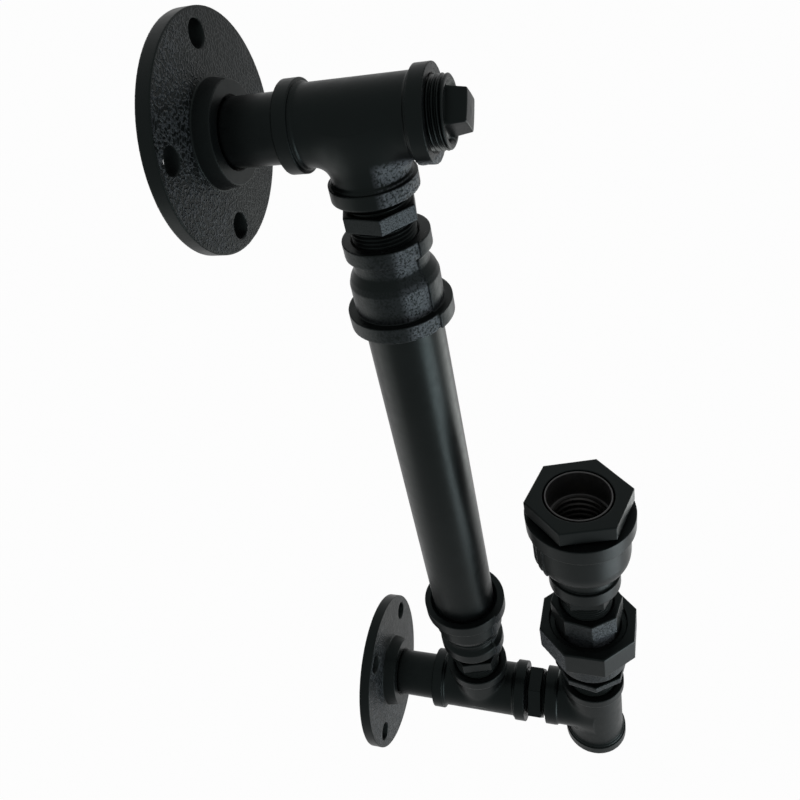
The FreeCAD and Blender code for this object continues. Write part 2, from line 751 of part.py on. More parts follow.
def lampholder():
    """Lampholder: sleeved body, base and screw shell."""
    body = new_body("lampholder_body", ("lamp_reach", "0", "holder_foot"))
    shoulder_top = "holder_depth - bushing_hex - bushing_stand - bushing_thread - joint_gap"
    turned(body, "moulding", [
        ("shell_floor_hole", "0"),
        ("holder_body_radius", "0"),
        ("holder_body_radius", "%s - holder_shoulder" % shoulder_top),
        ("holder_shoulder_radius", "%s - holder_shoulder" % shoulder_top),
        ("holder_shoulder_radius", shoulder_top),
        ("sleeve_radius", shoulder_top),
        ("sleeve_radius", "holder_depth"),
        ("sleeve_radius - sleeve_wall", "holder_depth"),
        ("sleeve_radius - sleeve_wall", "holder_depth - sleeve_depth"),
        ("shell_bore + shell_wall", "holder_depth - sleeve_depth"),
        ("shell_bore + shell_wall", "holder_depth - sleeve_depth - shell_length"),
        ("shell_floor_hole", "holder_depth - sleeve_depth - shell_length"),
    ])

    base = new_body("lampholder_base", ("lamp_reach", "0", "base_foot"))
    turned(base, "disc", [
        ("0", "0"),
        ("holder_body_radius", "0"),
        ("holder_body_radius", "holder_base"),
        ("0", "holder_base"),
    ])

    shell = new_body("screw_shell", ("lamp_reach", "0", "shell_foot"))
    turned(shell, "cup", [
        ("shell_floor_hole", "0"),
        ("shell_bore + shell_wall", "0"),
        ("shell_bore + shell_wall", "shell_length"),
        ("shell_bore", "shell_length"),
        ("shell_bore", "shell_wall"),
        ("shell_floor_hole", "shell_wall"),
    ])


def block(label, at, length, width, height):
    """A rectangular solid centred over its place."""
    made = doc.addObject("Part::Box", label)
    made.Label = label
    for name, size in (("Length", length), ("Width", width), ("Height", height)):
        made.setExpression(name, bound(size))
    for axis, size, span in zip("xyz", at, (length, width, "0")):
        made.setExpression("Placement.Base." + axis, bound("%s - (%s) / 2" % (size, span)))
    PIECES.append(made)


def rod(label, at, radius, height):
    """A round solid standing on its place."""
    made = doc.addObject("Part::Cylinder", label)
    made.Label = label
    made.setExpression("Radius", bound(radius))
    made.setExpression("Height", bound(height))
    for axis, size in zip("xyz", at):
        made.setExpression("Placement.Base." + axis, bound(size))
    return made


def fused(label, shapes):
    """One piece out of overlapping primitives, or one node out of like fasteners."""
    made = doc.addObject("Part::MultiFuse", label)
    made.Label = label
    made.Shapes = shapes
    PIECES.append(made)


def contacts():
    """Centre contact, two terminals and the screws of the lampholder."""
    block("centre_contact", ("lamp_reach", "0", "base_foot + holder_base"),
          "contact_length", "contact_width", "contact_thickness")
    for label, side in (("live_terminal", "-"), ("neutral_terminal", "")):
        block(label, ("lamp_reach", side + "terminal_offset", "base_foot - terminal_height"),
              "terminal_width", "terminal_width", "terminal_height")
    screws = [rod("terminal_screw_%d" % number, ("lamp_reach", side + "terminal_offset",
                                                "base_foot - terminal_height - terminal_screw_length"),
                  "terminal_screw_radius", "terminal_screw_length")
              for number, side in enumerate(("-", ""), start=1)]
    fused("terminal_screws", screws)
    heads = [rod("base_screw_%d" % number, ("lamp_reach %s base_screw_circle" % side, "0",
                                           "base_foot - base_screw_head_height"),
                 "base_screw_head", "base_screw_head_height")
             for number, side in enumerate(("-", "+"), start=1)]
    fused("base_screws", heads)


def build():
    """Every piece of the light, from the wall outwards."""
    for place, height in (("upper", "0"), ("lower", "-flange_spacing")):
        wall_flange(place + "_wall_flange", height, place + "_flange_turn")
        stub_pipe(place + "_stub_pipe", height)
    tee("top_tee", ("main_reach", "0", "0"), UPRIGHT, "tee_reach", "tee_reach",
        "tee_bead_radius", "tee_bead_radius", "tee_bead_width", "tee_body_radius")
    tee("lower_tee", ("main_reach", "0", "-flange_spacing"), INVERTED, "tee_reach", "tee_reach",
        "tee_bead_radius", "tee_bead_radius", "tee_bead_width", "tee_body_radius")
    tee("corner_tee", ("lamp_reach", "0", "-flange_spacing"), OUTWARD, "corner_reach",
        "corner_branch_reach", "corner_bead_radius", "corner_branch_bead", "corner_bead_width",
        "corner_body_radius")
    square_plug()
    hex_nipple("upper_hex_nipple", ("main_reach", "0", "upper_socket_top"), UPRIGHT,
               "upper_nipple_stand", "upper_nipple_hex", "upper_nipple_gap", "upper_nipple_turn")
    hex_nipple("lower_hex_nipple", ("main_reach", "0", "lower_tee_top"), UPRIGHT,
               "lower_nipple_stand", "lower_nipple_hex", "lower_nipple_gap", "lower_nipple_turn")
    hex_nipple("arm_hex_nipple", ("tee_room_end", "0", "-flange_spacing"), OUTWARD,
               "arm_nipple_gap", "arm_nipple_hex", "arm_nipple_stand", "arm_nipple_turn")
    hex_nipple("head_hex_nipple", ("lamp_reach", "0", "tail_top"), UPRIGHT,
               "head_nipple_gap", "head_nipple_hex", "head_nipple_stand", "head_nipple_turn")
    about = FreeCAD.Rotation(FreeCAD.Vector(0, 0, 1), worth("mould_turn"))
    reducing_socket("upper_reducing_socket", "upper_socket_top", about.multiply(INVERTED), "0", "180")
    reducing_socket("lower_reducing_socket", "lower_socket_foot", about, "180", "0")
    main_pipe()
    union()
    head_socket()
    hex_bushing()
    lampholder()
    contacts()


def check_document():
    """Stop on any object that failed and on any piece without a sound shape."""
    doc.recompute()
    for item in doc.Objects:
        if "Invalid" in item.State or "Error" in item.State:
            raise RuntimeError("%s did not build: %s" % (item.Label, item.State))
    for piece in PIECES:
        if piece.Shape.isNull() or not piece.Shape.isValid():
            raise RuntimeError("%s has no sound shape" % piece.Label)


def write_pieces():
    """One STEP file for each piece."""
    os.makedirs("parts", exist_ok=True)
    for piece in PIECES:
        piece.Shape.exportStep(os.path.join("parts", piece.Label + ".step"))


build()
check_document()
write_pieces()
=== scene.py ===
"""Pipe wall light, dressed round its fixed frame.

The castings are modelled as solid fields and netted into meshes, so that their
fillets, edges, mould step and coarse sand skin are real geometry. Finer grain and the
flanges' wrinkles are relief in the paint. Threads and the screw shell have their real
pitch. A piece's own frame has its axis along Z.
"""

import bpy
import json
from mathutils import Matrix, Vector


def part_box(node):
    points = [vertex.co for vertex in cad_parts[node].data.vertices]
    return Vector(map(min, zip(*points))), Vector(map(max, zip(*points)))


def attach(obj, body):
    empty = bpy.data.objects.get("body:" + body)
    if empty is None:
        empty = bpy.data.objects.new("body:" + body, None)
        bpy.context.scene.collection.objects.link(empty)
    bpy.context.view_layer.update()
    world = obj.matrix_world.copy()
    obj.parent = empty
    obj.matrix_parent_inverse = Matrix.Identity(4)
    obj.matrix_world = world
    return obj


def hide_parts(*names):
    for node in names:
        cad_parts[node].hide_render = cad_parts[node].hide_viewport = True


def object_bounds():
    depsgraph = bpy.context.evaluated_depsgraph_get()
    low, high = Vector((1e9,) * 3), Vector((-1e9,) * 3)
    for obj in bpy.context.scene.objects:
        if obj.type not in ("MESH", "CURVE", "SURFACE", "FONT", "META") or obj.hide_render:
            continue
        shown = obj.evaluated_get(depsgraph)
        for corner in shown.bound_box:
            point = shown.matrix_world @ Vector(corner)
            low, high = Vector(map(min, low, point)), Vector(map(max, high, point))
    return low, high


bl_info = {
    "name": "Pipe Wall Light",
    "version": (1, 1, 0),
    "blender": (4, 5, 0),
    "location": "View3D > Sidebar > Wall Light",
    "description": "Castings, threads, paint and stage for a wall light made of pipe fittings",
    "category": "Object",
}

import itertools
import json
import math

import bpy
import numpy as np
from bpy.props import FloatProperty, FloatVectorProperty, PointerProperty
from mathutils import Matrix, Vector

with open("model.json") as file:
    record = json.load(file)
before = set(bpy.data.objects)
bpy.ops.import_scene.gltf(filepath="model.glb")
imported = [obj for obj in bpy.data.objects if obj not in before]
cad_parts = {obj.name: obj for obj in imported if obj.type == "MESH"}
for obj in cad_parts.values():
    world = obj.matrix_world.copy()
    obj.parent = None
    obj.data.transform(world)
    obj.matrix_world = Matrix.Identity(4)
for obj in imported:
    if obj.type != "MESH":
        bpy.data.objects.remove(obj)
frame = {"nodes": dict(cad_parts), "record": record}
CAD_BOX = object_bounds()
BODIES = frame["record"]["behaviour"]["bodies"]
BODY_OF = {node: body for body, nodes in BODIES.items() for node in nodes}

MM = 0.001
# An outline that holds the axis runs past it to this radius, so that the axis isn't an edge.
PAST = -5
PAST_AXIS = PAST * MM
# Radii of the two thread cores, of the narrower thread's mouth and of the way through the union.
CORE_MM = 12.06
WIDE_CORE_MM = 19.48
MOUTH_MM = 15.06
UNION_WAY_MM = 9.6
CORE = CORE_MM * MM
CREST = 13.22 * MM
MOUTH_FLARE = 2.0 * MM
BORE_EDGE = 0.5 * MM
CAST_PEEL = 0.008 * MM
ROUND_COUNT = 128
NOISE_KEYS = np.array([(127.1, 311.7, 74.7), (269.5, 183.3, 246.1), (113.5, 271.9, 124.6)])
NOISE_SCALE = 43758.5453
NOISE_GAIN = 1.6
COARSE_SHARE = 0.6
COARSE_PITCH = 2.4
TOP_FADE = 1.7


def middle(node):
    """Centre of a solid's box."""
    low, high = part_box(node)
    return (low + high) / 2


def span(node, axis):
    """Extent of a solid's box along an axis, as low and high."""
    low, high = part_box(node)
    return low[axis], high[axis]


RUN_AXIS = middle("main_pipe")
LAMP_AXIS = middle("hex_bushing")
UPPER_AXIS = middle("upper_stub_pipe")
LOWER_AXIS = middle("lower_stub_pipe")


class CastingSizes(bpy.types.PropertyGroup):
    """Form and skin of the cast fittings."""
    net_step: FloatProperty(
        name="Net step", description="Distance between the points of a casting's mesh",
        default=0.0004, min=0.0002, max=0.002, unit="LENGTH", precision=5)
    skin_depth: FloatProperty(
        name="Skin depth", description="Height of the slow waves in smooth castings",
        default=0.000012, min=0.0, max=0.0005, unit="LENGTH", precision=6)
    skin_pitch: FloatProperty(
        name="Skin pitch", description="Distance from wave to wave",
        default=0.0042, min=0.0005, max=0.01, unit="LENGTH", precision=4)
    rough_depth: FloatProperty(
        name="Rough depth", description="Height of the bumps that sand leaves on iron",
        default=0.00015, min=0.0, max=0.0005, unit="LENGTH", precision=6)
    rough_pitch: FloatProperty(
        name="Rough pitch", description="Distance from sand bump to sand bump",
        default=0.0011, min=0.0005, max=0.01, unit="LENGTH", precision=4)
    mould_shift: FloatProperty(
        name="Mould shift", description="How far the sockets' mould halves met out of line",
        default=0.0009, min=0.0, max=0.002, unit="LENGTH", precision=5)
    mould_turn: FloatProperty(
        name="Mould turn", description="Direction of the sockets' parting line",
        default=math.radians(-28), subtype="ANGLE", unit="ROTATION")


class ThreadSizes(bpy.types.PropertyGroup):
    """Threads that are open to view."""
    pipe_pitch: FloatProperty(
        name="Pipe pitch", description="Fourteen threads to the inch",
        default=0.0018143, min=0.0005, max=0.005, unit="LENGTH", precision=6)
    lamp_pitch: FloatProperty(
        name="Lamp pitch", description="Rolled thread of the lamp's screw shell",
        default=0.0036286, min=0.001, max=0.01, unit="LENGTH", precision=6)
    lamp_depth: FloatProperty(
        name="Lamp depth", description="Depth of the rolled thread",
        default=0.0011, min=0.0001, max=0.003, unit="LENGTH", precision=5)


class PaintLook(bpy.types.PropertyGroup):
    """Colours and gloss."""
    cast_colour: FloatVectorProperty(
        name="Cast paint", description="Black paint on the castings",
        default=(0.0030, 0.0036, 0.0037), subtype="COLOR", min=0, max=1)
    pipe_colour: FloatVectorProperty(
        name="Pipe paint", description="Black paint on drawn pipe",
        default=(0.0030, 0.0035, 0.0036), subtype="COLOR", min=0, max=1)
    holder_colour: FloatVectorProperty(
        name="Lampholder", description="Moulded black of the lampholder",
        default=(0.007, 0.007, 0.007), subtype="COLOR", min=0, max=1)
    # The screw shell's metal is given a dark colour.
    shell_colour: FloatVectorProperty(
        name="Screw shell", description="Darkened metal of the screw shell",
        default=(0.020, 0.019, 0.018), subtype="COLOR", min=0, max=1)
    brass_colour: FloatVectorProperty(
        name="Brass", description="Contacts and terminals",
        default=(0.56, 0.40, 0.17), subtype="COLOR", min=0, max=1)
    steel_colour: FloatVectorProperty(
        name="Steel", description="Plated screws",
        default=(0.55, 0.55, 0.54), subtype="COLOR", min=0, max=1)
    fibre_colour: FloatVectorProperty(
        name="Gasket", description="Pressed fibre of the gasket",
        default=(0.05, 0.05, 0.05), subtype="COLOR", min=0, max=1)
    cast_gloss: FloatProperty(
        name="Cast roughness", description="Roughness of the paint on castings",
        default=0.38, min=0, max=1, subtype="FACTOR")
    pipe_gloss: FloatProperty(
        name="Pipe roughness", description="Roughness of the paint on pipe",
        default=0.34, min=0, max=1, subtype="FACTOR")
    sheen_level: FloatProperty(
        name="Specular level", description="Share of light that the paint mirrors",
        default=0.095, min=0, max=1, subtype="FACTOR")
    sheen_tint: FloatVectorProperty(
        name="Mirror tint", description="Colour that the paint lends to what it mirrors",
        default=(0.78, 1.0, 0.97), subtype="COLOR", min=0, max=1)
    # Painted highlight: the crests of the sand skin and of the flanges' wrinkles are lightened towards this
    # bluish colour, in place of the light they catch.
    sand_highlight_colour: FloatVectorProperty(
        name="Sand skin", description="Paint over sand skin, which scatters more",
        default=(0.070, 0.078, 0.087), subtype="COLOR", min=0, max=1)


class StageSizes(bpy.types.PropertyGroup):
    """Floor and camera."""
    floor_drop: FloatProperty(
        name="Floor drop", description="Floor below the lowest point of the light",
        default=1.2, min=0.0, max=3.0, unit="LENGTH")
    floor_width: FloatProperty(
        name="Floor width", description="Side of the floor",
        default=60.0, min=2.0, max=100.0, unit="LENGTH")
    floor_white: FloatProperty(
        name="Floor white", description="Share of the floor's own white in what is seen",
        default=0.97, min=0, max=1, subtype="FACTOR")
    eye: FloatVectorProperty(
        name="Camera place", description="Where the camera stands",
        default=(0.17121, -0.27582, 0.10949), subtype="XYZ", unit="LENGTH")
    view_right: FloatVectorProperty(
        name="Camera right", description="Direction to the right of the picture",
        default=(0.9300, 0.2955, -0.2187), subtype="DIRECTION")
    view_back: FloatVectorProperty(
        name="Camera back", description="Direction from the scene to the camera",
        default=(0.3673, -0.7217, 0.5868), subtype="DIRECTION")
    lens: FloatProperty(
        name="Lens", description="Focal length in millimetres",
        default=37.45, min=10, max=200)
    shift: FloatVectorProperty(
        name="Shift", description="Shift of the picture in parts of its width",
        default=(0.071, -0.0435), size=2)


def joined(first, second, blend):
    """Union of two fields with a fillet about as wide as the blend."""
    near = np.maximum(blend - np.abs(first - second), 0) / blend
    return np.minimum(first, second) - near * near * blend / 4


def common(first, second, edge):
    """What two fields share, its edge eased."""
    return -joined(-first, -second, edge)


def outline_field(points, across, along):
    """Signed distance, negative inside, to a closed outline of radius and height."""
    nearest = np.full(across.shape, np.inf)
    inside = np.zeros(across.shape, bool)
    for (r_start, z_start), (r_end, z_end) in zip(points, points[1:] + points[:1]):
        run = r_end - r_start
        rise = z_end - z_start
        share = ((across - r_start) * run + (along - z_start) * rise) / (run * run + rise * rise)
        share = np.clip(share, 0, 1)
        gap = (across - r_start - share * run) ** 2 + (along - z_start - share * rise) ** 2
        nearest = np.minimum(nearest, gap)
        if rise:
            spans = (z_start > along) != (z_end > along)
            inside ^= spans & (across < r_start + run * (along - z_start) / rise)
    return np.where(inside, -1.0, 1.0) * np.sqrt(nearest)


def in_mm(*points):
    """An outline of radius and height, given in millimetres."""
    return [(radius * MM, height * MM) for radius, height in points]


def prism_field(x, y, sides, across, turn):
    """Signed distance to an endless regular prism with a corner at the turn."""
    reach = np.full(x.shape, -np.inf)
    for side in range(sides):
        angle = turn + math.tau / sides * (side + 0.5)
        reach = np.maximum(reach, x * math.cos(angle) + y * math.sin(angle) - across / 2)
    return reach


def sums(cell, values):
    """Sum of the values that belong to each cell, column by column."""
    return np.stack([np.bincount(cell, column) for column in values.T], axis=1)


def slopes(field, points):
    """Unit normals of a field at points."""
    reach = 0.02 * MM
    least = 1e-12
    normal = np.empty_like(points)
    for axis in range(3):
        shift = np.zeros(3)
        shift[axis] = reach
        normal[:, axis] = field(*(points + shift).T) - field(*(points - shift).T)
    return normal / np.maximum(np.linalg.norm(normal, axis=1, keepdims=True), least)


def edge_points(field, hits, quads, corner, step):
    """One point for each cell, where the planes through its hits meet.

    The hold draws it to the middle of its hits where those planes are nearly parallel.
    """
    hold = 0.05
    cell = quads.ravel()
    hit = np.repeat(hits, 4, axis=0)
    normal = np.repeat(slopes(field, hits), 4, axis=0)
    mean = sums(cell, hit) / np.bincount(cell)[:, None]
    offset = np.sum(normal * (hit - mean[cell]), axis=1)
    spread = sums(cell, (normal[:, :, None] * normal[:, None, :]).reshape(-1, 9)).reshape(-1, 3, 3)
    pull = sums(cell, normal * offset[:, None])
    move = np.linalg.solve(spread + hold * np.eye(3), pull[:, :, None])[:, :, 0]
    return np.clip(mean + move, corner, corner + step)


def field_net(field, low, high, step):
    """Points and quads over the zero surface of a field, with points drawn to its edges and corners.

    The grid starts two steps before the low corner and goes about as far past the high one.
    """
    axes = [np.arange(start - 2 * step, end + 3 * step, step) for start, end in zip(low, high)]
    origin = np.array([line[0] for line in axes])
    value = field(*np.meshgrid(*axes, indexing="ij"))
    cells = tuple(size - 1 for size in value.shape)
    hits, rings = [], []
    for axis in range(3):
        start = np.take(value, range(cells[axis]), axis)
        end = np.take(value, range(1, cells[axis] + 1), axis)
        place = np.argwhere((start < 0) != (end < 0))
        before = start[tuple(place.T)]
        hit = place.astype(float)
        hit[:, axis] += before / (before - end[tuple(place.T)])
        hits.append(origin + step * hit)
        ring = []
        for second_back, third_back in ((1, 1), (0, 1), (0, 0), (1, 0)):
            cell = place.copy()
            cell[:, (axis + 1) % 3] -= second_back
            cell[:, (axis + 2) % 3] -= third_back
            ring.append(np.ravel_multi_index(tuple(cell.T), cells))
        ring = np.stack(ring, axis=1)
        rings.append(np.where(before[:, None] < 0, ring, ring[:, ::-1]))
    used, quads = np.unique(np.concatenate(rings), return_inverse=True)
    quads = quads.reshape(-1, 4)
    corner = origin + step * np.stack(np.unravel_index(used, cells), axis=1)
    return edge_points(field, np.concatenate(hits), quads, corner, step), quads


def eased(points, quads, rounds):
    """Points drawn towards their neighbours, which rounds every edge a little."""
    ends = np.concatenate([quads[:, [0, 1]], quads[:, [1, 2]], quads[:, [2, 3]], quads[:, [3, 0]]])
    start = np.concatenate([ends[:, 0], ends[:, 1]])
    end = np.concatenate([ends[:, 1], ends[:, 0]])
    count = np.bincount(start, minlength=len(points))
    for _ in range(rounds):
        total = [np.bincount(start, points[end, axis], len(points)) for axis in range(3)]
        points = (points + np.stack(total, 1) / count[:, None]) / 2
    return points


def soft_noise(points, pitch):
    """Smooth noise from about -1 to 1 that changes over about a pitch."""
    spots = points / pitch
    base = np.floor(spots)
    part = spots - base
    ease = part ** 3 * (part * (6 * part - 15) + 10)
    total = np.zeros(len(points))
    for corner in itertools.product((0.0, 1.0), repeat=3):
        weight = np.prod(np.where(corner, ease, 1 - ease), axis=1)
        lean = np.sin((base + corner) @ NOISE_KEYS.T) * NOISE_SCALE % 1 * 2 - 1
        total += weight * np.sum(lean * (part - corner), axis=1)
    return NOISE_GAIN * total


def mesh_piece(name, points, faces, matrix=None):
    """A smooth-shaded mesh object from points and faces of one kind."""
    mesh = bpy.data.meshes.new(name)
    mesh.vertices.add(len(points))
    mesh.vertices.foreach_set("co", np.asarray(points, np.float32).ravel())
    mesh.loops.add(faces.size)
    mesh.loops.foreach_set("vertex_index", faces.astype(np.int32).ravel())
    mesh.polygons.add(len(faces))
    mesh.polygons.foreach_set("loop_start", np.arange(0, faces.size, faces.shape[1], dtype=np.int32))
    mesh.update(calc_edges=True)
    if matrix is not None:
        mesh.transform(matrix)
    mesh.shade_smooth()
    mesh.update()
    piece = bpy.data.objects.new(name, mesh)
    bpy.context.scene.collection.objects.link(piece)
    return piece


def place_points(mesh):
    """Points and normals of a mesh as arrays."""
    points = np.empty(len(mesh.vertices) * 3)
    mesh.vertices.foreach_get("co", points)
    normals = np.empty(len(mesh.vertices) * 3)
    mesh.vertices.foreach_get("normal", normals)
    return points.reshape(-1, 3), normals.reshape(-1, 3)


def net_piece(name, field, low, high, matrix, rounds=1, step=None, rough_and_highlight=None, depth=1.0):
    """A casting netted from its field.

    A share function gives the sand skin at each point, and the paint lightens the skin's crests there as a
    painted highlight; the share fades on faces that look up.
    """
    sizes = bpy.context.scene.light_castings
    points, quads = field_net(field, low, high, step or sizes.net_step)
    piece = mesh_piece(name, eased(points, quads, rounds), quads, matrix)
    points, normals = place_points(piece.data)
    share = np.zeros(len(points))
    if rough_and_highlight:
        share = rough_and_highlight(points) * np.clip(1 - TOP_FADE * normals[:, 2], 0, 1)
    heights = sizes.skin_depth * soft_noise(points, sizes.skin_pitch)
    sand = soft_noise(points, sizes.rough_pitch)
    sand += COARSE_SHARE * soft_noise(points, COARSE_PITCH * sizes.rough_pitch)
    heights += depth * sizes.rough_depth * share * sand
    piece.data.vertices.foreach_set("co", (points + normals * heights[:, None]).ravel())
    piece.data.update()
    piece.data.attributes.new("rough_and_highlight", "FLOAT", "POINT").data.foreach_set("value", share)
    return piece


def round_box(reach, foot, top):
    """Corners of the box round a turned piece."""
    return (-reach, -reach, foot), (reach, reach, top)


def around(points, axis):
    """Direction of each point about an upright axis, in degrees."""
    return np.degrees(np.arctan2(points[:, 1] - axis[1], points[:, 0] - axis[0]))


def side_share(turns, centre, reach, fade):
    """One within the reach of a direction, falling to zero over the fade; all in degrees."""
    off = np.abs((turns - centre + 180) % 360 - 180)
    return np.clip((reach + fade - off) / fade, 0, 1)


def rough_and_highlight_side(axis, *sides):
    """A share of sand skin from sides, each a direction, its reach, its fade and its level; the paint
    lightens the skin's crests there as a painted highlight.
    """
    def share(points):
        turns = around(points, axis)
        total = np.zeros(len(points))
        for centre, reach, fade, level in sides:
            total = np.maximum(total, level * side_share(turns, centre, reach, fade))
        return total
    return share


def ring_piece(name, rings, matrix):
    """A closed mesh from rings of points that run round the axis; the last ring meets the first."""
    count = len(rings[0])
    spots = np.arange(count)
    after = (spots + 1) % count
    rows = []
    for row in range(len(rings)):
        start = row * count
        end = (row + 1) % len(rings) * count
        rows.append(np.stack([start + spots, start + after, end + after, end + spots], axis=1))
    return mesh_piece(name, np.concatenate(rings), np.concatenate(rows), matrix)


def circle(radii, height, turns):
    """One ring of points; the radii may change round the ring."""
    ones = np.ones_like(turns)
    return np.stack([radii * np.cos(turns), radii * np.sin(turns), height * ones], axis=1)


def open_thread(name, node, foot, top, matrix, material):
    """A helical V thread over a pipe's core, faded out at both ends, as an extra piece of its node."""
    count = 96
    rows_per_pitch, fewest_rows = 10, 12
    steepness, root = 1.25, 0.12
    wall = 0.6 * MM
    pitch = bpy.context.scene.light_threads.pipe_pitch
    fade_run = 0.35 * pitch
    turns = np.linspace(0, math.tau, count, endpoint=False)
    rows = max(int((top - foot) / pitch * rows_per_pitch), fewest_rows)
    rings = []
    for height in np.linspace(foot, top, rows):
        wave = (height / pitch - turns / math.tau) % 1.0
        ridge = np.clip(steepness * (1 - np.abs(2 * wave - 1)) - root, 0, 1)
        fade = min(1.0, (height - foot) / fade_run, (top - height) / fade_run)
        rings.append(circle(CORE + (CREST - CORE) * ridge * fade, height, turns))
    rings += [circle(CORE - wall, top, turns), circle(CORE - wall, foot, turns)]
    fitted(ring_piece(name, rings, matrix), node, material, replaced=False)


def upright(place):
    """Matrix that stands a local frame on a place."""
    return Matrix.Translation(place)


def outward(place):
    """Matrix that lays a local frame's Z along +X at a place."""
    return Matrix.Translation(place) @ Matrix.Rotation(math.radians(90), 4, "Y")


def on_lamp(height):
    """Matrix that stands a local frame on the lamp's axis."""
    return upright((LAMP_AXIS.x, 0, height))


def inverted(place):
    """Matrix that hangs a local frame upside down from a place."""
    return Matrix.Translation(place) @ Matrix.Rotation(math.radians(180), 4, "X")


def fitted(piece, node, material, replaced=True):
    """Finish a piece and hang it on the body of its node."""
    piece.data.materials.append(material)
    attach(piece, BODY_OF[node])
    if replaced:
        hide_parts(node)


def painted(node, material):
    """Give a solid of the frame its finish."""
    shape = frame["nodes"][node]
    shape.data.materials.clear()
    shape.data.materials.append(material)


class Nodes:
    """Short hand for building one node material."""

    def __init__(self, name):
        self.material = bpy.data.materials.new(name)
        self.material.use_nodes = True
        self.tree = self.material.node_tree
        self.shader = self.tree.nodes["Principled BSDF"]
        self.coords = self.tree.nodes.new("ShaderNodeTexCoord").outputs["Object"]

    def add(self, kind, inputs=None, **settings):
        """A node with its settings and its inputs, which are values or other sockets."""
        node = self.tree.nodes.new(kind)
        for key, value in settings.items():
            setattr(node, key, value)
        for key, value in (inputs or {}).items():
            self.set(node.inputs[key], value)
        return node

    def set(self, socket, value):
        """Link a socket to another or give it a value."""
        if isinstance(value, bpy.types.NodeSocket):
            self.tree.links.new(value, socket)
        else:
            socket.default_value = value

    def grain(self, pitch, detail=3.0, stretch=(1, 1, 1)):
        """Noise that repeats about every pitch; a stretch below one draws it out along that axis."""
        coords = self.add("ShaderNodeMapping", {"Vector": self.coords, "Scale": stretch}).outputs[0]
        return self.add("ShaderNodeTexNoise", {"Vector": coords, "Scale": 1 / pitch, "Detail": detail,
                                               "Roughness": 0.55}).outputs["Fac"]

    def worms(self, pitch, width):
        """Winding ridges where a soft noise passes its middle."""
        inputs = {0: self.grain(pitch, detail=0.6), 1: 0.5}
        off = self.add("ShaderNodeMath", inputs, operation="SUBTRACT").outputs[0]
        off = self.add("ShaderNodeMath", {0: off}, operation="ABSOLUTE").outputs[0]
        return self.between(off, 1, 0, 0, width)

    def between(self, fac, low, high, from_low=0.3, from_high=0.7):
        """A factor stretched from its usual range to the range given."""
        return self.add("ShaderNodeMapRange", {"Value": fac, "From Min": from_low, "From Max": from_high,
                                               "To Min": low, "To Max": high}).outputs[0]

    def blend(self, fac, first, second):
        """Two colours mixed by a factor; sockets 6, 7 and 2 are the mixing node's colours."""
        node = self.add("ShaderNodeMix", {"Factor": fac}, data_type="RGBA")
        self.set(node.inputs[6], (*first, 1.0))
        self.set(node.inputs[7], (*second, 1.0))
        return node.outputs[2]

    def bump(self, height, distance, strength=1.0, normal=None):
        """Surface relief of a height in metres."""
        inputs = {"Height": height, "Distance": distance, "Strength": strength}
        if normal is not None:
            inputs["Normal"] = normal
        return self.add("ShaderNodeBump", inputs).outputs["Normal"]

    def surface(self, name, value):
        """Link or set an input of the material's shader."""
        self.set(self.shader.inputs[name], value)

    def rough_and_highlight(self):
        """The share of sand skin that a mesh carries, which also places the painted highlight on the skin's
        crests.
        """
        return self.add("ShaderNodeAttribute", attribute_name="rough_and_highlight").outputs["Fac"]

    def clouds(self, pitch, colour, dark, light):
        """Set a colour that changes slowly between two shares of itself."""
        cloud = self.between(self.grain(pitch), 0, 1)
        self.surface("Base Color", self.blend(cloud, scaled(colour, dark), scaled(colour, light)))

    def gloss(self, pitch, roughness, change):
        """Set a roughness that changes a little from place to place."""
        level = self.between(self.grain(pitch), roughness - change, roughness + change)
        self.surface("Roughness", level)

    def skin_and_highlight(self, crest, relief, height, colour, peel_pitch):
        """Set relief where the mesh carries sand skin, lighten the skin's crests towards a colour there as
        a painted highlight, and set a fine orange peel all over.
        """
        inputs = {0: crest, 1: self.rough_and_highlight()}
        share = self.add("ShaderNodeMath", inputs, operation="MULTIPLY").outputs[0]
        plain = bpy.context.scene.light_paint.cast_colour
        # Painted highlight: the crests take the lighter colour.
        self.surface("Base Color", self.blend(share, plain, colour))
        skin = self.bump(relief, height, self.rough_and_highlight())
        self.surface("Normal", self.bump(self.grain(peel_pitch, 1.0), CAST_PEEL, normal=skin))


def scaled(colour, share):
    """A colour made lighter or darker."""
    return tuple(channel * share for channel in colour)


def paint_base(name, roughness):
    """Black paint before its colour and relief are set."""
    look = bpy.context.scene.light_paint
    nodes = Nodes(name)
    nodes.gloss(4 * MM, roughness, change=0.04)
    nodes.shader.inputs["Specular IOR Level"].default_value = look.sheen_level
    nodes.shader.inputs["Specular Tint"].default_value = (*look.sheen_tint, 1.0)
    return nodes


def sand_paint(name, pitch, relief):
    """Paint over iron with sand skin where its mesh says so, the skin's crests lightened as a painted
    highlight.
    """
    look = bpy.context.scene.light_paint
    nodes = paint_base(name, look.cast_gloss)
    grit = nodes.grain(pitch, detail=4.0)
    crest = nodes.between(grit, 0, 1, from_low=0.38, from_high=0.54)
    nodes.skin_and_highlight(crest, grit, relief, look.sand_highlight_colour, peel_pitch=1.3 * MM)
    return nodes.material


def cast_paint():
    """Paint over a coarse sand-cast skin."""
    return sand_paint("cast_paint", pitch=1.0 * MM, relief=0.42 * MM)


def fine_paint():
    """Paint over a fine-grained skin."""
    return sand_paint("fine_paint", pitch=0.5 * MM, relief=0.16 * MM)


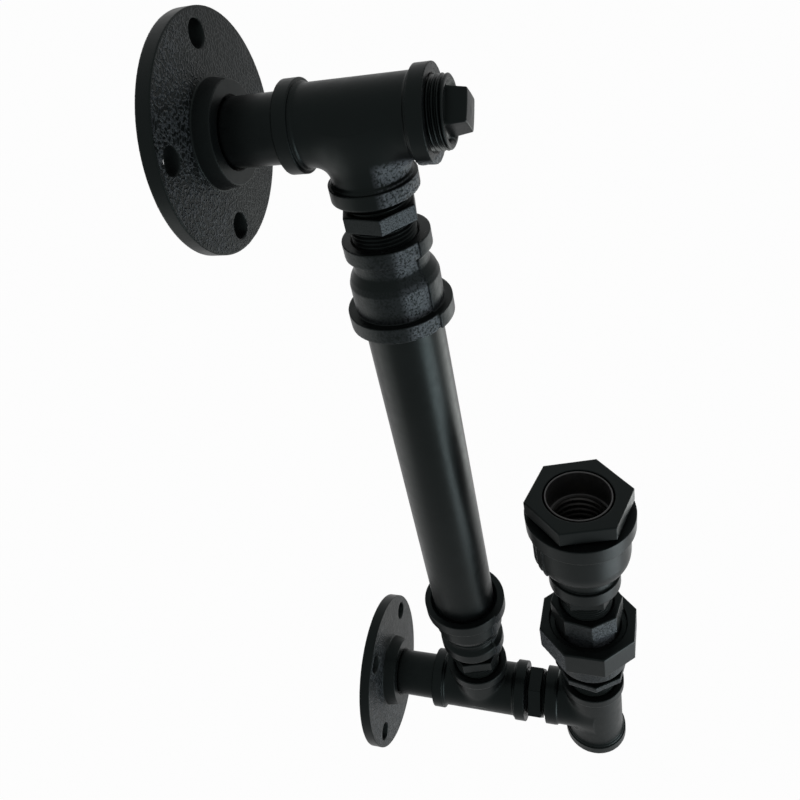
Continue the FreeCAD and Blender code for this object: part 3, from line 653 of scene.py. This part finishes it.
def wrinkle_paint():
    """Paint over the wrinkled face of a flange, the wrinkles' ridges lightened as a painted highlight."""
    look = bpy.context.scene.light_paint
    nodes = paint_base("wrinkle_paint", look.cast_gloss)
    ridge = nodes.worms(pitch=2.0 * MM, width=0.11)
    # Painted highlight for the ridges: a darker share of the sand highlight colour.
    colour = scaled(look.sand_highlight_colour, share=0.42)
    nodes.skin_and_highlight(ridge, ridge, height=0.42 * MM, colour=colour, peel_pitch=0.7 * MM)
    return nodes.material


def pipe_paint(name, stretch):
    """Paint over drawn pipe, with faint streaks along it."""
    look = bpy.context.scene.light_paint
    nodes = paint_base(name, look.pipe_gloss)
    nodes.clouds(18 * MM, look.pipe_colour, dark=0.75, light=1.3)
    streaks = nodes.grain(0.8 * MM, detail=2.0, stretch=stretch)
    nodes.surface("Normal", nodes.bump(streaks, distance=0.004 * MM))
    return nodes.material


def plain_material(name, colour, roughness, metallic=0.0):
    """A finish for the pieces inside the lamp head and for the gasket."""
    nodes = Nodes(name)
    nodes.clouds(3 * MM, colour, dark=0.85, light=1.1)
    nodes.gloss(1.6 * MM, roughness, change=0.05)
    nodes.surface("Metallic", metallic)
    nodes.surface("Normal", nodes.bump(nodes.grain(0.8 * MM), distance=0.01 * MM))
    return nodes.material


FLANGE_RADIUS = 46.75 * MM
FLANGE_FACE = 6.1 * MM
HUB_HEIGHT = 13.2 * MM
HUB_FOOT = 21.4 * MM
HUB_TOP = 19.9 * MM
HUB_MOUTH = 14.5 * MM
HUB_LEAD = 2.4 * MM
BOLT_CIRCLE = 37.25 * MM
BOLT_RADIUS = 5.5 * MM
BOLT_DRAFT = 0.33


def flange_field(hole_turn):
    """Wall flange, back face at zero: disc, tapered hub, threaded bore and four bolt holes."""
    outline = [(CORE, 0), (FLANGE_RADIUS, 0), (FLANGE_RADIUS, FLANGE_FACE), (HUB_FOOT, FLANGE_FACE),
               (HUB_TOP, HUB_HEIGHT), (HUB_MOUTH, HUB_HEIGHT), (CORE, HUB_HEIGHT - HUB_LEAD)]

    def field(x, y, z):
        solid = outline_field(outline, np.hypot(x, y), z)
        for quarter in range(4):
            angle = hole_turn + quarter * math.pi / 2
            off_x = x - BOLT_CIRCLE * math.cos(angle)
            off_y = y - BOLT_CIRCLE * math.sin(angle)
            hole = BOLT_RADIUS - BOLT_DRAFT * np.clip(FLANGE_FACE - z, 0, FLANGE_FACE)
            solid = common(solid, hole - np.hypot(off_x, off_y), BORE_EDGE)
        return solid
    return field


def flange_wrinkle_and_highlight(place):
    """The wrinkled front face, strongest towards the -Y side, with a smooth margin; the paint lightens the
    wrinkles' ridges there as a painted highlight.
    """
    inner, outer = 21.6 * MM, 46.3 * MM
    fade_from, fade_run = 12 * MM, 26 * MM
    least = 0.3
    face_depth = 0.25 * MM

    def share(points):
        reach = np.hypot(points[:, 1] - place.y, points[:, 2] - place.z)
        on_face = np.abs(points[:, 0] - place.x - FLANGE_FACE) < face_depth
        margin = np.clip((reach - inner) / MM, 0, 1) * np.clip((outer - reach) / MM, 0, 1)
        side = np.clip((fade_from - points[:, 1]) / fade_run, least, 1)
        return on_face * margin * side
    return share


class WALLLIGHT_OT_flanges(bpy.types.Operator):
    """Cast the two wall flanges, with wrinkled faces"""
    bl_idname = "wall_light.flanges"
    bl_label = "Wall Flanges"

    def execute(self, context):
        material = wrinkle_paint()
        turned = (("upper_wall_flange", UPPER_AXIS, 10.2), ("lower_wall_flange", LOWER_AXIS, -28.0))
        for node, axis, turn in turned:
            place = Vector((span(node, 0)[0], axis.y, axis.z))
            piece = net_piece(node + "_casting", flange_field(math.radians(180 - turn)),
                              *round_box(FLANGE_RADIUS, 0, HUB_HEIGHT), outward(place),
                              rough_and_highlight=flange_wrinkle_and_highlight(place), depth=0.35)
            fitted(piece, node, material)
        return {"FINISHED"}


class WALLLIGHT_OT_pipes(bpy.types.Operator):
    """Paint the stub pipes and the main pipe"""
    bl_idname = "wall_light.pipes"
    bl_label = "Pipes"

    def execute(self, context):
        drawn_out = 0.04
        stub = pipe_paint("stub_pipe_paint", (drawn_out, 1, 1))
        painted("upper_stub_pipe", stub)
        painted("lower_stub_pipe", stub)
        painted("main_pipe", pipe_paint("main_pipe_paint", (1, 1, drawn_out)))
        return {"FINISHED"}


def beaded(reach, bead, bead_width, body):
    """Outline of a tee's run from end to end: bead, collar, body, collar, bead."""
    collar = body + 0.8 * MM
    ledge = bead_width + 0.9 * MM
    neck = ledge + 0.7 * MM
    half = [(PAST_AXIS, -reach), (bead, -reach), (bead, bead_width - reach), (collar, bead_width - reach),
            (collar, ledge - reach), (body, neck - reach)]
    return half + [(radius, -height) for radius, height in reversed(half)]


def mouth_bore(reach):
    """Outline of the threaded way through a tee's run."""
    extra = 1 * MM
    past = reach + extra
    half = [(PAST_AXIS, -past), (CORE + MOUTH_FLARE + extra, -past), (CORE, MOUTH_FLARE - reach)]
    return half + [(radius, -height) for radius, height in reversed(half)]


def tee_field(reach, branch_reach, bead, branch_bead, bead_width, body, fillet):
    """Tee with its run along Z and its branch towards -X."""
    run = beaded(reach, bead, bead_width, body)
    branch = beaded(branch_reach, branch_bead, bead_width, body)
    run_bore = mouth_bore(reach)
    branch_bore = mouth_bore(branch_reach)

    def field(x, y, z):
        run_radius = np.hypot(x, y)
        branch_radius = np.hypot(y, z)
        arm = np.maximum(outline_field(branch, branch_radius, -x), x)
        solid = joined(outline_field(run, run_radius, z), arm, fillet)
        solid = common(solid, -outline_field(run_bore, run_radius, z), BORE_EDGE)
        way = np.maximum(outline_field(branch_bore, branch_radius, -x), x)
        return common(solid, -way, BORE_EDGE)
    return field


class WALLLIGHT_OT_tees(bpy.types.Operator):
    """Cast the three tees, each with its own junction"""
    bl_idname = "wall_light.tees"
    bl_label = "Tees"

    def execute(self, context):
        material = cast_paint()
        top = Vector((RUN_AXIS.x, 0, UPPER_AXIS.z))
        bottom = Vector((RUN_AXIS.x, 0, LOWER_AXIS.z))
        corner = Vector((LAMP_AXIS.x, 0, LOWER_AXIS.z))
        branch_down = Matrix.Rotation(math.radians(-90), 4, "Y")
        branch_up = Matrix.Rotation(math.radians(90), 4, "Y")
        run_tee = (28.0, 28.0, 17.5, 17.5, 6.0, 15.4)
        tees = (
            ("top_tee", top, branch_down, run_tee, 6.5, self.branch_rough_and_highlight(top)),
            ("lower_tee", bottom, branch_up, run_tee, 1.6, None),
            ("corner_tee", corner, Matrix.Identity(4), (28.1, 26.7, 17.3, 16.6, 5.6, 15.7), 2.6, None),
        )
        for node, place, turn, sizes, fillet, rough_and_highlight in tees:
            reach, branch_reach, bead, branch_bead, bead_width, body = (size * MM for size in sizes)
            field = tee_field(reach, branch_reach, bead, branch_bead, bead_width, body, fillet * MM)
            piece = net_piece(node + "_casting", field, (-branch_reach, -bead, -reach), (bead, bead, reach),
                              upright(place) @ turn, rough_and_highlight=rough_and_highlight)
            fitted(piece, node, material)
        return {"FINISHED"}

    def branch_rough_and_highlight(self, place):
        """Sand skin on the branch's side that faces the room, its crests lightened as a painted highlight.
        """
        side = rough_and_highlight_side(place, (-31, 29, 12, 1.0))
        drop, fade_run = 11 * MM, 3 * MM

        def share(points):
            return side(points) * np.clip((place.z - drop - points[:, 2]) / fade_run, 0, 1)
        return share


PLUG_BACK = -11.5


def plug_field(turn):
    """Plug from the tee's face at zero: recessed round face and tapered square head."""
    body = in_mm((PAST, PLUG_BACK), (CORE_MM, PLUG_BACK), (CORE_MM, 4.7), (13.0, 5.1), (13.0, 5.5),
                 (12.4, 5.9), (11.3, 5.9), (9.4, 4.0), (PAST, 4.0))
    foot, top = 3.7 * MM, 12.9 * MM
    half_foot, taper = 7.2, 1.2
    dome, dome_rise = 0.05, 0.15 * MM
    edge, fillet = 0.6 * MM, 1.6 * MM
    flat_turn = turn + math.pi / 4

    def field(x, y, z):
        half = (half_foot - taper * np.clip((z - foot) / (top - foot), 0, 1)) * MM
        across = np.abs(x * math.cos(flat_turn) + y * math.sin(flat_turn)) - half
        along = np.abs(y * math.cos(flat_turn) - x * math.sin(flat_turn)) - half
        crown = dome * np.hypot(x, y) + z - top - dome_rise
        head = common(common(across, along, edge), np.maximum(crown, foot - 1 * MM - z), edge)
        return joined(outline_field(body, np.hypot(x, y), z), head, fillet)
    return field


class WALLLIGHT_OT_plug(bpy.types.Operator):
    """Make the square-headed plug and its open thread"""
    bl_idname = "wall_light.plug"
    bl_label = "Tee Plug"

    def execute(self, context):
        place = Vector((span("top_tee", 0)[1], 0, UPPER_AXIS.z))
        reach, top = 13.3 * MM, 13.5 * MM
        material = fine_paint()
        piece = net_piece("tee_plug_forging", plug_field(turn=math.radians(3)),
                          *round_box(reach, PLUG_BACK * MM, top), outward(place), step=0.3 * MM)
        fitted(piece, "tee_plug", material)
        open_thread("tee_plug_thread", "tee_plug", -2 * MM, 5.2 * MM, outward(place), material)
        return {"FINISHED"}


def hexagon_field(across, turn, foot, height, bore):
    """Hexagon with a round way through it."""
    def field(x, y, z):
        ends = np.abs(z - foot - height / 2) - height / 2
        solid = common(prism_field(x, y, 6, across, turn), ends, BORE_EDGE)
        return np.maximum(solid, bore - np.hypot(x, y))
    return field


class WALLLIGHT_OT_nipples(bpy.types.Operator):
    """Make the four hexagon nipples with their threads"""
    bl_idname = "wall_light.nipples"
    bl_label = "Hexagon Nipples"

    def execute(self, context):
        material = fine_paint()
        across = 28 * MM
        hidden = 4 * MM
        bore = CORE - 1.2 * MM
        reach = across / 2 / math.cos(math.pi / 6)
        lower_top = span("lower_tee", 2)[1]
        head_foot = span("union_tail_piece", 2)[1]
        socket_top = span("upper_reducing_socket", 2)[1]
        # Node and place, open thread below, hexagon, open thread above, its turn and its sand skin, whose
        # crests the paint lightens as a painted highlight.
        nipples = (
            ("upper_hex_nipple", upright((RUN_AXIS.x, 0, socket_top)), 6.9, 6.8, 5.0, -13.0,
             rough_and_highlight_side(RUN_AXIS, (-43, 29, 2, 1.0), (-103, 29, 2, 0.12))),
            ("lower_hex_nipple", upright((RUN_AXIS.x, 0, lower_top)), 7.2, 7.0, 7.1, -103.0, None),
            ("arm_hex_nipple", outward((span("lower_tee", 0)[1], 0, LOWER_AXIS.z)), 2.05, 7.5, 2.6, 30.0,
             None),
            ("head_hex_nipple", on_lamp(head_foot), 9.0, 6.5, 1.5, -111.0, None),
        )
        for node, matrix, lower, height, upper, turn, rough_and_highlight in nipples:
            lower, height, upper = lower * MM, height * MM, upper * MM
            field = hexagon_field(across, math.radians(turn), lower, height, bore)
            piece = net_piece(node + "_hexagon", field, *round_box(reach, lower, lower + height), matrix,
                              rounds=0, step=0.35 * MM, rough_and_highlight=rough_and_highlight, depth=0.25)
            fitted(piece, node, material)
            top = lower + height + upper + hidden
            open_thread(node + "_thread", node, -hidden, top, matrix, material)
        return {"FINISHED"}


def moulded(outline, bore, shift, turn, hand):
    """A turned casting whose mould halves met out of line along their parting plane."""
    overlap = 0.2 * MM

    def field(x, y, z):
        radius = np.hypot(x, y)
        moved = np.hypot(x - shift * math.cos(turn), y - shift * math.sin(turn))
        side = hand * (y * math.cos(turn) - x * math.sin(turn))
        fixed_half = np.maximum(outline_field(outline, radius, z), side - overlap)
        moved_half = np.maximum(outline_field(outline, moved, z), -side)
        body = np.minimum(fixed_half, moved_half)
        return np.maximum(body, -outline_field(bore, radius, z))
    return field


SOCKET_LENGTH = 39.2
SOCKET_BORE = in_mm((PAST, -1), (MOUTH_MM, -1), (CORE_MM, 2.0), (CORE_MM, 15.0), (15.15, 22.2),
                    (15.15, 36.7), (18.6, SOCKET_LENGTH), (18.6, 41), (PAST, 41))


def socket_outline(ledge):
    """Reducing socket from its small mouth at zero to its rim; the ledge is a ring above the neck."""
    ring = 15.3 + ledge
    return in_mm((PAST, 0), (17.6, 0), (17.6, 6.6), (15.2, 8.6), (15.2, 12.2), (ring, 12.3), (ring, 13.0),
                 (15.4, 13.2), (17.5, 16.8), (18.4, 19.4), (18.4, 32.2), (21.8, 32.2),
                 (21.8, SOCKET_LENGTH), (PAST, SOCKET_LENGTH))


class WALLLIGHT_OT_sockets(bpy.types.Operator):
    """Cast the two reducing sockets with their mould step"""
    bl_idname = "wall_light.sockets"
    bl_label = "Reducing Sockets"

    def execute(self, context):
        sizes = context.scene.light_castings
        material = cast_paint()
        reach = 22.8 * MM
        top = span("upper_reducing_socket", 2)[1]
        foot = span("lower_reducing_socket", 2)[0]
        places = (
            ("upper_reducing_socket", inverted((RUN_AXIS.x, 0, top)), -1, 0.0, self.upper_rough_and_highlight),
            # The lower socket's sand skin towards 10 degrees has its crests lightened as a painted
            # highlight.
            ("lower_reducing_socket", upright((RUN_AXIS.x, 0, foot)), 1, 0.7,
             rough_and_highlight_side(RUN_AXIS, (10, 36, 10, 0.3))),
        )
        for node, matrix, hand, ledge, rough_and_highlight in places:
            turn = hand * sizes.mould_turn
            field = moulded(socket_outline(ledge), SOCKET_BORE, sizes.mould_shift, turn, hand)
            piece = net_piece(node + "_casting", field, *round_box(reach, 0, SOCKET_LENGTH * MM), matrix,
                              rough_and_highlight=rough_and_highlight)
            fitted(piece, node, material)
        return {"FINISHED"}

    def upper_rough_and_highlight(self, points):
        """Sand skin beside the parting line, with a narrow strip behind and a faint grain all round, its
        crests lightened as a painted highlight.
        """
        line_turn, fade = -27, 2
        strip_level, least = 0.7, 0.15
        turns = around(points, RUN_AXIS)
        beside = side_share(turns, -44, 15, 12) * np.clip((line_turn - turns) / fade, 0, 1)
        strip = strip_level * side_share(turns, -163, 8, 8)
        return np.maximum(np.maximum(beside, strip), least)


def octagon_field(across, turn, foot, top, edge):
    """Octagon between two heights with eased ends."""
    def field(x, y, z):
        ends = np.abs(z - (foot + top) / 2) - (top - foot) / 2
        return common(prism_field(x, y, 8, across, turn), ends, edge)
    return field


def hollow(field, outline):
    """A field with a turned way cut out of it."""
    def cut(x, y, z):
        return np.maximum(field(x, y, z), -outline_field(outline, np.hypot(x, y), z))
    return cut


def with_collar(field, outline):
    """A field joined to a turned collar."""
    def added(x, y, z):
        return joined(field(x, y, z), outline_field(outline, np.hypot(x, y), z), 0.6 * MM)
    return added


class WALLLIGHT_OT_union(bpy.types.Operator):
    """Make the union: octagonal foot, nut and tail"""
    bl_idname = "wall_light.union"
    bl_label = "Union"

    def execute(self, context):
        material = cast_paint()
        self.foot(material)
        self.nut(material)
        self.tail(material)
        fibre = context.scene.light_paint.fibre_colour
        painted("union_gasket", plain_material("gasket_fibre", fibre, roughness=0.8))
        return {"FINISHED"}

    def foot(self, material):
        """Threaded foot with its octagon, on the corner tee."""
        thread_run = 13.0 * MM
        matrix = on_lamp(span("corner_tee", 2)[1] + thread_run)
        foot, top = -12, 31.6
        stem = in_mm((PAST, foot), (CORE_MM, foot), (CORE_MM, 0), (15.8, 0), (15.8, 7.4), (19.4, 10),
                     (19.4, top), (PAST, top))
        way = in_mm((PAST, -13), (UNION_WAY_MM, -13), (UNION_WAY_MM, 33), (PAST, 33))
        octagon = octagon_field(across=36 * MM, turn=math.radians(-77.6), foot=0, top=4.4 * MM,
                                edge=0.6 * MM)
        field = hollow(with_collar(octagon, stem), way)
        reach = 19.6 * MM
        # Its sand skin towards -80 degrees has its crests lightened as a painted highlight.
        piece = net_piece("union_foot_casting", field, *round_box(reach, foot * MM, top * MM), matrix,
                          rough_and_highlight=rough_and_highlight_side(LAMP_AXIS, (-80, 60, 20, 0.25)))
        fitted(piece, "union_bottom_piece", material)
        open_thread("union_foot_thread", "union_bottom_piece", -15 * MM, -0.1 * MM, matrix, material)

    def nut(self, material):
        """Octagonal nut with its lip and recess."""
        low, high = span("union_nut", 2)
        height = (high - low) / MM
        shoulder, lip = height - 4.5, height - 2
        way = in_mm((PAST, -1), (WIDE_CORE_MM, -1), (WIDE_CORE_MM, shoulder), (16.9, shoulder), (16.9, lip),
                    (20, lip), (20, height + 1), (PAST, height + 1))
        octagon = octagon_field(across=48.6 * MM, turn=math.radians(-112.6), foot=0, top=high - low,
                                edge=0.9 * MM)
        reach = 26.4 * MM
        # Painted highlight: the sand crests on the facet towards -135 degrees are lightened, in place of
        # light from that side.
        piece = net_piece("union_nut_casting", hollow(octagon, way), *round_box(reach, 0, high - low),
                          on_lamp(low), rounds=0, rough_and_highlight=rough_and_highlight_side(LAMP_AXIS, (-135, 21, 3, 0.9)))
        fitted(piece, "union_nut", material)

    def tail(self, material):
        """Tail piece that the nut holds down, with its octagon."""
        low, high = span("union_tail_piece", 2)
        height = (high - low) / MM
        stem = in_mm((PAST, 0), (18.7, 0), (18.7, 2.4), (16.7, 2.4), (16.7, 12), (PAST, 12))
        throat, flare = height - 15, height - 2
        way = in_mm((PAST, -1), (UNION_WAY_MM, -1), (UNION_WAY_MM, throat), (CORE_MM, throat),
                    (CORE_MM, flare), (MOUTH_MM, height + 1), (PAST, height + 1))
        top = high - low
        octagon = octagon_field(across=34 * MM, turn=math.radians(-76.9), foot=top - 12.9 * MM, top=top,
                                edge=0.9 * MM)
        reach = 19 * MM
        # Painted highlight: the sand crests on the facets towards -54 and -99 degrees are lightened.
        piece = net_piece("union_tail_casting", hollow(with_collar(octagon, stem), way),
                          *round_box(reach, 0, top), on_lamp(low), rounds=0,
                          rough_and_highlight=rough_and_highlight_side(LAMP_AXIS, (-54, 21, 3, 0.6), (-99, 21, 3, 0.2)))
        fitted(piece, "union_tail_piece", material)


HEAD_RIM = 51.3


def head_outline():
    """Large socket of the lamp head from its small mouth at zero to its rim."""
    bowl_foot, bowl_swell = 20.4, 2.9
    bowl_low, bowl_rise = 19.0, 8.5
    bowl = []
    for angle in np.linspace(0, 1, 9) * math.pi / 2:
        radius = bowl_foot + bowl_swell * math.sin(angle)
        bowl.append((radius, bowl_low + bowl_rise * (1 - math.cos(angle))))
    return in_mm((PAST, 0), (17.8, 0), (17.8, 8), (16.4, 8.4), (16.4, 17.6), *bowl, (23.3, 42.0),
                 (25.8, 42.6), (26, HEAD_RIM), (PAST, HEAD_RIM))


HEAD_BORE = in_mm((PAST, -1), (MOUTH_MM, -1), (CORE_MM, 2.0), (CORE_MM, 19.0), (19.8, 23.5),
                  (19.8, 31.3), (WIDE_CORE_MM, 31.3), (WIDE_CORE_MM, 49.8), (21, HEAD_RIM), (21, 53),
                  (PAST, 53))
RIB_TURNS = [math.radians(turn + half) for half in (0, 180) for turn in (-154.5, -144.5, -134.5)]


class WALLLIGHT_OT_head(bpy.types.Operator):
    """Cast the lamp head and its hexagon bushing"""
    bl_idname = "wall_light.head"
    bl_label = "Lamp Head"

    def execute(self, context):
        low, high = span("head_reducing_socket", 2)
        reach = 26.2 * MM
        outline = head_outline()
        rib_foot, rib_top = 19.5 * MM, 43 * MM
        rib_rise, rib_half = 0.9 * MM, 0.55 * MM
        rib_reach = 25.7 * MM

        def field(x, y, z):
            radius = np.hypot(x, y)
            body = outline_field(outline, radius, z)
            solid = body
            turn = np.arctan2(y, x)
            ends = np.maximum(rib_foot - z, z - rib_top)
            for rib in RIB_TURNS:
                off = np.abs((turn - rib + math.pi) % math.tau - math.pi) * radius
                ridge = np.maximum(body - rib_rise, off - rib_half)
                ridge = np.maximum(ridge, np.maximum(ends, radius - rib_reach))
                solid = np.minimum(solid, ridge)
            return np.maximum(solid, -outline_field(HEAD_BORE, radius, z))

        material = fine_paint()
        piece = net_piece("head_socket_casting", field, *round_box(reach, 0, high - low), on_lamp(low))
        fitted(piece, "head_reducing_socket", material)
        self.bushing(material)
        return {"FINISHED"}

    def bushing(self, material):
        """Flat hexagon bushing with the lampholder's bore."""
        low, high = span("hex_bushing", 2)
        across = 44.3 * MM
        height = 8.2 * MM
        reach = across / 2 / math.cos(math.pi / 6)
        bore = 16.6 * MM
        plate_edge, lip_edge = 0.6 * MM, 0.3 * MM
        turn = math.radians(15.6)
        skirt_radius = WIDE_CORE_MM * MM
        skirt = [(bore, low - high), (skirt_radius, low - high), (skirt_radius, -height / 2),
                 (bore, -height / 2)]

        def field(x, y, z):
            radius = np.hypot(x, y)
            ends = np.abs(z + height / 2) - height / 2
            plate = common(prism_field(x, y, 6, across, turn), ends, plate_edge)
            solid = np.minimum(plate, outline_field(skirt, radius, z))
            return common(solid, bore - radius, lip_edge)

        piece = net_piece("hex_bushing_forging", field, *round_box(reach, low - high, 0), on_lamp(high),
                          rounds=0)
        fitted(piece, "hex_bushing", material)


class WALLLIGHT_OT_lampholder(bpy.types.Operator):
    """Make the lampholder's sleeve, screw shell and contacts"""
    bl_idname = "wall_light.lampholder"
    bl_label = "Lampholder"

    def execute(self, context):
        look = context.scene.light_paint
        black = plain_material("holder_black", look.holder_colour, roughness=0.42)
        brass = plain_material("contact_brass", look.brass_colour, roughness=0.3, metallic=1.0)
        steel = plain_material("screw_steel", look.steel_colour, roughness=0.35, metallic=1.0)
        self.sleeve(black)
        self.shell(context.scene.light_threads, look)
        painted("lampholder_base", black)
        for node in ("centre_contact", "live_terminal", "neutral_terminal"):
            painted(node, brass)
        for node in ("terminal_screws", "base_screws"):
            painted(node, steel)
        return {"FINISHED"}

    def sleeve(self, material):
        """Moulded body: thin sleeve with a rounded lip above, thick wall below."""
        low, high = span("lampholder_body", 2)
        height = (high - low) / MM
        lip_radius, lip_half = 15.325, 0.425
        lip = []
        for angle in np.linspace(0, 1, 7) * math.pi:
            rise = height - lip_half + lip_half * math.sin(angle)
            lip.append((lip_radius + lip_half * math.cos(angle), rise))
        flange_low, flange_high, step = height - 30.5, height - 27.5, height - 15.3
        outline = in_mm((7.0, 0), (17.4, 0), (17.4, flange_low), (18.4, flange_low), (18.4, flange_high),
                        (15.75, flange_high), *lip, (14.9, height - 15), (14.2, step), (13.8, step),
                        (13.8, 1.0), (7.0, 1.0))
        turns = np.linspace(0, math.tau, ROUND_COUNT, endpoint=False)
        rings = [circle(radius, place, turns) for radius, place in outline]
        piece = ring_piece("lampholder_moulding", rings, on_lamp(low))
        piece.data.set_sharp_from_angle(angle=math.radians(35))
        fitted(piece, "lampholder_body", material)

    def shell(self, threads, look):
        """Screw shell rolled to the lamp's thread."""
        low, high = span("screw_shell", 2)
        turns = np.linspace(0, math.tau, ROUND_COUNT, endpoint=False)
        row_count = 90
        wall = 0.15 * MM
        crest, way = 13.45 * MM, 7.0 * MM
        outer, inner = [], []
        for height in np.linspace(0, high - low, row_count):
            wave = np.cos(math.tau * height / threads.lamp_pitch - turns)
            radius = crest - threads.lamp_depth / 2 * (1 - wave)
            outer.append(circle(radius + wall, height, turns))
            inner.append(circle(radius - wall, height, turns))
        floor = [circle(way, 2 * wall, turns), circle(way, 0.0, turns)]
        piece = ring_piece("screw_shell_rolled", outer + inner[::-1] + floor, on_lamp(low))
        # The screw shell's metal is given a dark colour.
        dark = plain_material("dark_shell_metal", look.shell_colour, roughness=0.32, metallic=0.6)
        fitted(piece, "screw_shell", dark)


LAMPS = {
    "window_lamp": {"place": (0.58, -0.16, -0.50), "target": (0.09, 0.0, -0.15), "width": 0.32,
                    "height": 0.36, "radiance": 9.6, "colour": (0.88, 0.95, 1.0)},
    "side_lamp": {"place": (0.46, 0.42, -0.52), "target": (0.09, 0.0, -0.18), "width": 0.35,
                  "height": 0.35, "radiance": 3.0, "colour": (0.97, 1.0, 0.97)},
    "left_lamp": {"place": (-0.60, -0.25, -0.60), "target": (0.10, 0.0, -0.2), "width": 0.70,
                  "height": 0.4, "radiance": 1.3, "colour": (1.0, 0.98, 0.96)},
}
SURROUNDINGS_LEVEL = 0.4
FLOOR_TONE = 0.9
WHITE = (1, 1, 1, 1)


class WALLLIGHT_OT_stage(bpy.types.Operator):
    """Set the floor, the soft lamps, the world and the camera"""
    bl_idname = "wall_light.stage"
    bl_label = "Stage"

    def execute(self, context):
        sizes = context.scene.light_stage
        self.floor(sizes)
        self.world(context.scene)
        for name, settings in LAMPS.items():
            self.lamp(name, **settings)
        self.camera(context.scene, sizes)
        context.scene.view_settings.view_transform = "Standard"
        return {"FINISHED"}

    def seen(self, tree):
        """One for rays that show the background: to the camera, mirrored or through glass."""
        path = tree.nodes.new("ShaderNodeLightPath")
        total = path.outputs["Is Camera Ray"]
        for kind in ("Is Glossy Ray", "Is Transmission Ray"):
            either = tree.nodes.new("ShaderNodeMath")
            either.operation = "MAXIMUM"
            tree.links.new(total, either.inputs[0])
            tree.links.new(path.outputs[kind], either.inputs[1])
            total = either.outputs[0]
        return total

    def mixed(self, tree, share, first, second, output):
        """Send two shaders, mixed by a share, to an output."""
        mix = tree.nodes.new("ShaderNodeMixShader")
        tree.links.new(share, mix.inputs[0])
        tree.links.new(first.outputs[0], mix.inputs[1])
        tree.links.new(second.outputs[0], mix.inputs[2])
        tree.links.new(mix.outputs[0], tree.nodes[output].inputs["Surface"])

    def floor(self, sizes):
        """Plain pale floor below the light."""
        lowest = CAD_BOX[0][2] - sizes.floor_drop
        half = sizes.floor_width / 2
        corners = np.array([(-half, -half, lowest), (half, -half, lowest), (half, half, lowest),
                            (-half, half, lowest)])
        floor = mesh_piece("floor", corners, np.array([(0, 1, 2, 3)]))
        material = bpy.data.materials.new("pale_floor")
        material.use_nodes = True
        tree = material.node_tree
        plain = tree.nodes["Principled BSDF"]
        plain.inputs["Base Color"].default_value = (FLOOR_TONE, FLOOR_TONE, FLOOR_TONE, 1)
        plain.inputs["Roughness"].default_value = 0.9
        plain.inputs["Specular IOR Level"].default_value = 0.0
        white = tree.nodes.new("ShaderNodeEmission")
        share = tree.nodes.new("ShaderNodeMath")
        share.operation = "MULTIPLY"
        share.inputs[1].default_value = sizes.floor_white
        tree.links.new(self.seen(tree), share.inputs[0])
        self.mixed(tree, share.outputs[0], plain, white, "Material Output")
        floor.data.materials.append(material)

    def world(self, scene):
        """Even pale surroundings."""
        world = bpy.data.worlds.new("surroundings")
        scene.world = world
        world.use_nodes = True
        tree = world.node_tree
        plain = tree.nodes["Background"]
        plain.inputs["Color"].default_value = WHITE
        plain.inputs["Strength"].default_value = SURROUNDINGS_LEVEL
        white = tree.nodes.new("ShaderNodeBackground")
        white.inputs["Color"].default_value = WHITE
        self.mixed(tree, self.seen(tree), plain, white, "World Output")

    def lamp(self, name, place, target, width, height, radiance, colour):
        """A soft upright lamp aimed at a point."""
        data = bpy.data.lights.new(name, "AREA")
        data.shape = "RECTANGLE"
        data.size = width
        data.size_y = height
        data.energy = radiance * math.pi * width * height
        data.color = colour
        lamp = bpy.data.objects.new(name, data)
        lamp.location = place
        lamp.rotation_euler = (Vector(target) - Vector(place)).to_track_quat("-Z", "Y").to_euler()
        lamp.visible_camera = False
        bpy.context.scene.collection.objects.link(lamp)

    def camera(self, scene, sizes):
        """Camera where the photograph was taken from."""
        data = bpy.data.cameras.new("camera")
        data.lens = sizes.lens
        data.sensor_width = 36
        data.shift_x, data.shift_y = sizes.shift
        data.clip_start = 0.01
        camera = bpy.data.objects.new("camera", data)
        right = Vector(sizes.view_right).normalized()
        back = Vector(sizes.view_back).normalized()
        up = back.cross(right).normalized()
        turn = Matrix((right, up, back)).transposed().to_4x4()
        camera.matrix_world = Matrix.Translation(sizes.eye) @ turn
        scene.collection.objects.link(camera)
        scene.camera = camera


OPERATORS = (WALLLIGHT_OT_flanges, WALLLIGHT_OT_pipes, WALLLIGHT_OT_tees, WALLLIGHT_OT_plug,
             WALLLIGHT_OT_nipples, WALLLIGHT_OT_sockets, WALLLIGHT_OT_union, WALLLIGHT_OT_head,
             WALLLIGHT_OT_lampholder, WALLLIGHT_OT_stage)
GROUPS = {"light_castings": CastingSizes, "light_threads": ThreadSizes, "light_paint": PaintLook,
          "light_stage": StageSizes}


class WALLLIGHT_PT_panel(bpy.types.Panel):
    """Steps that make the wall light"""
    bl_idname = "WALLLIGHT_PT_panel"
    bl_label = "Wall Light"
    bl_space_type = "VIEW_3D"
    bl_region_type = "UI"
    bl_category = "Wall Light"

    def draw(self, context):
        for operator in OPERATORS:
            self.layout.operator(operator.bl_idname)


def register():
    """Add the classes and the scene's property groups."""
    for name, group in GROUPS.items():
        bpy.utils.register_class(group)
        setattr(bpy.types.Scene, name, PointerProperty(type=group))
    for operator in OPERATORS:
        bpy.utils.register_class(operator)
    bpy.utils.register_class(WALLLIGHT_PT_panel)


def unregister():
    """Remove what register added."""
    bpy.utils.unregister_class(WALLLIGHT_PT_panel)
    for operator in reversed(OPERATORS):
        bpy.utils.unregister_class(operator)
    for name, group in GROUPS.items():
        delattr(bpy.types.Scene, name)
        bpy.utils.unregister_class(group)


def main():
    """Make the light."""
    register()
    for operator in OPERATORS:
        family, name = operator.bl_idname.split(".")
        getattr(getattr(bpy.ops, family), name)()


if __name__ == "__main__":
    main()
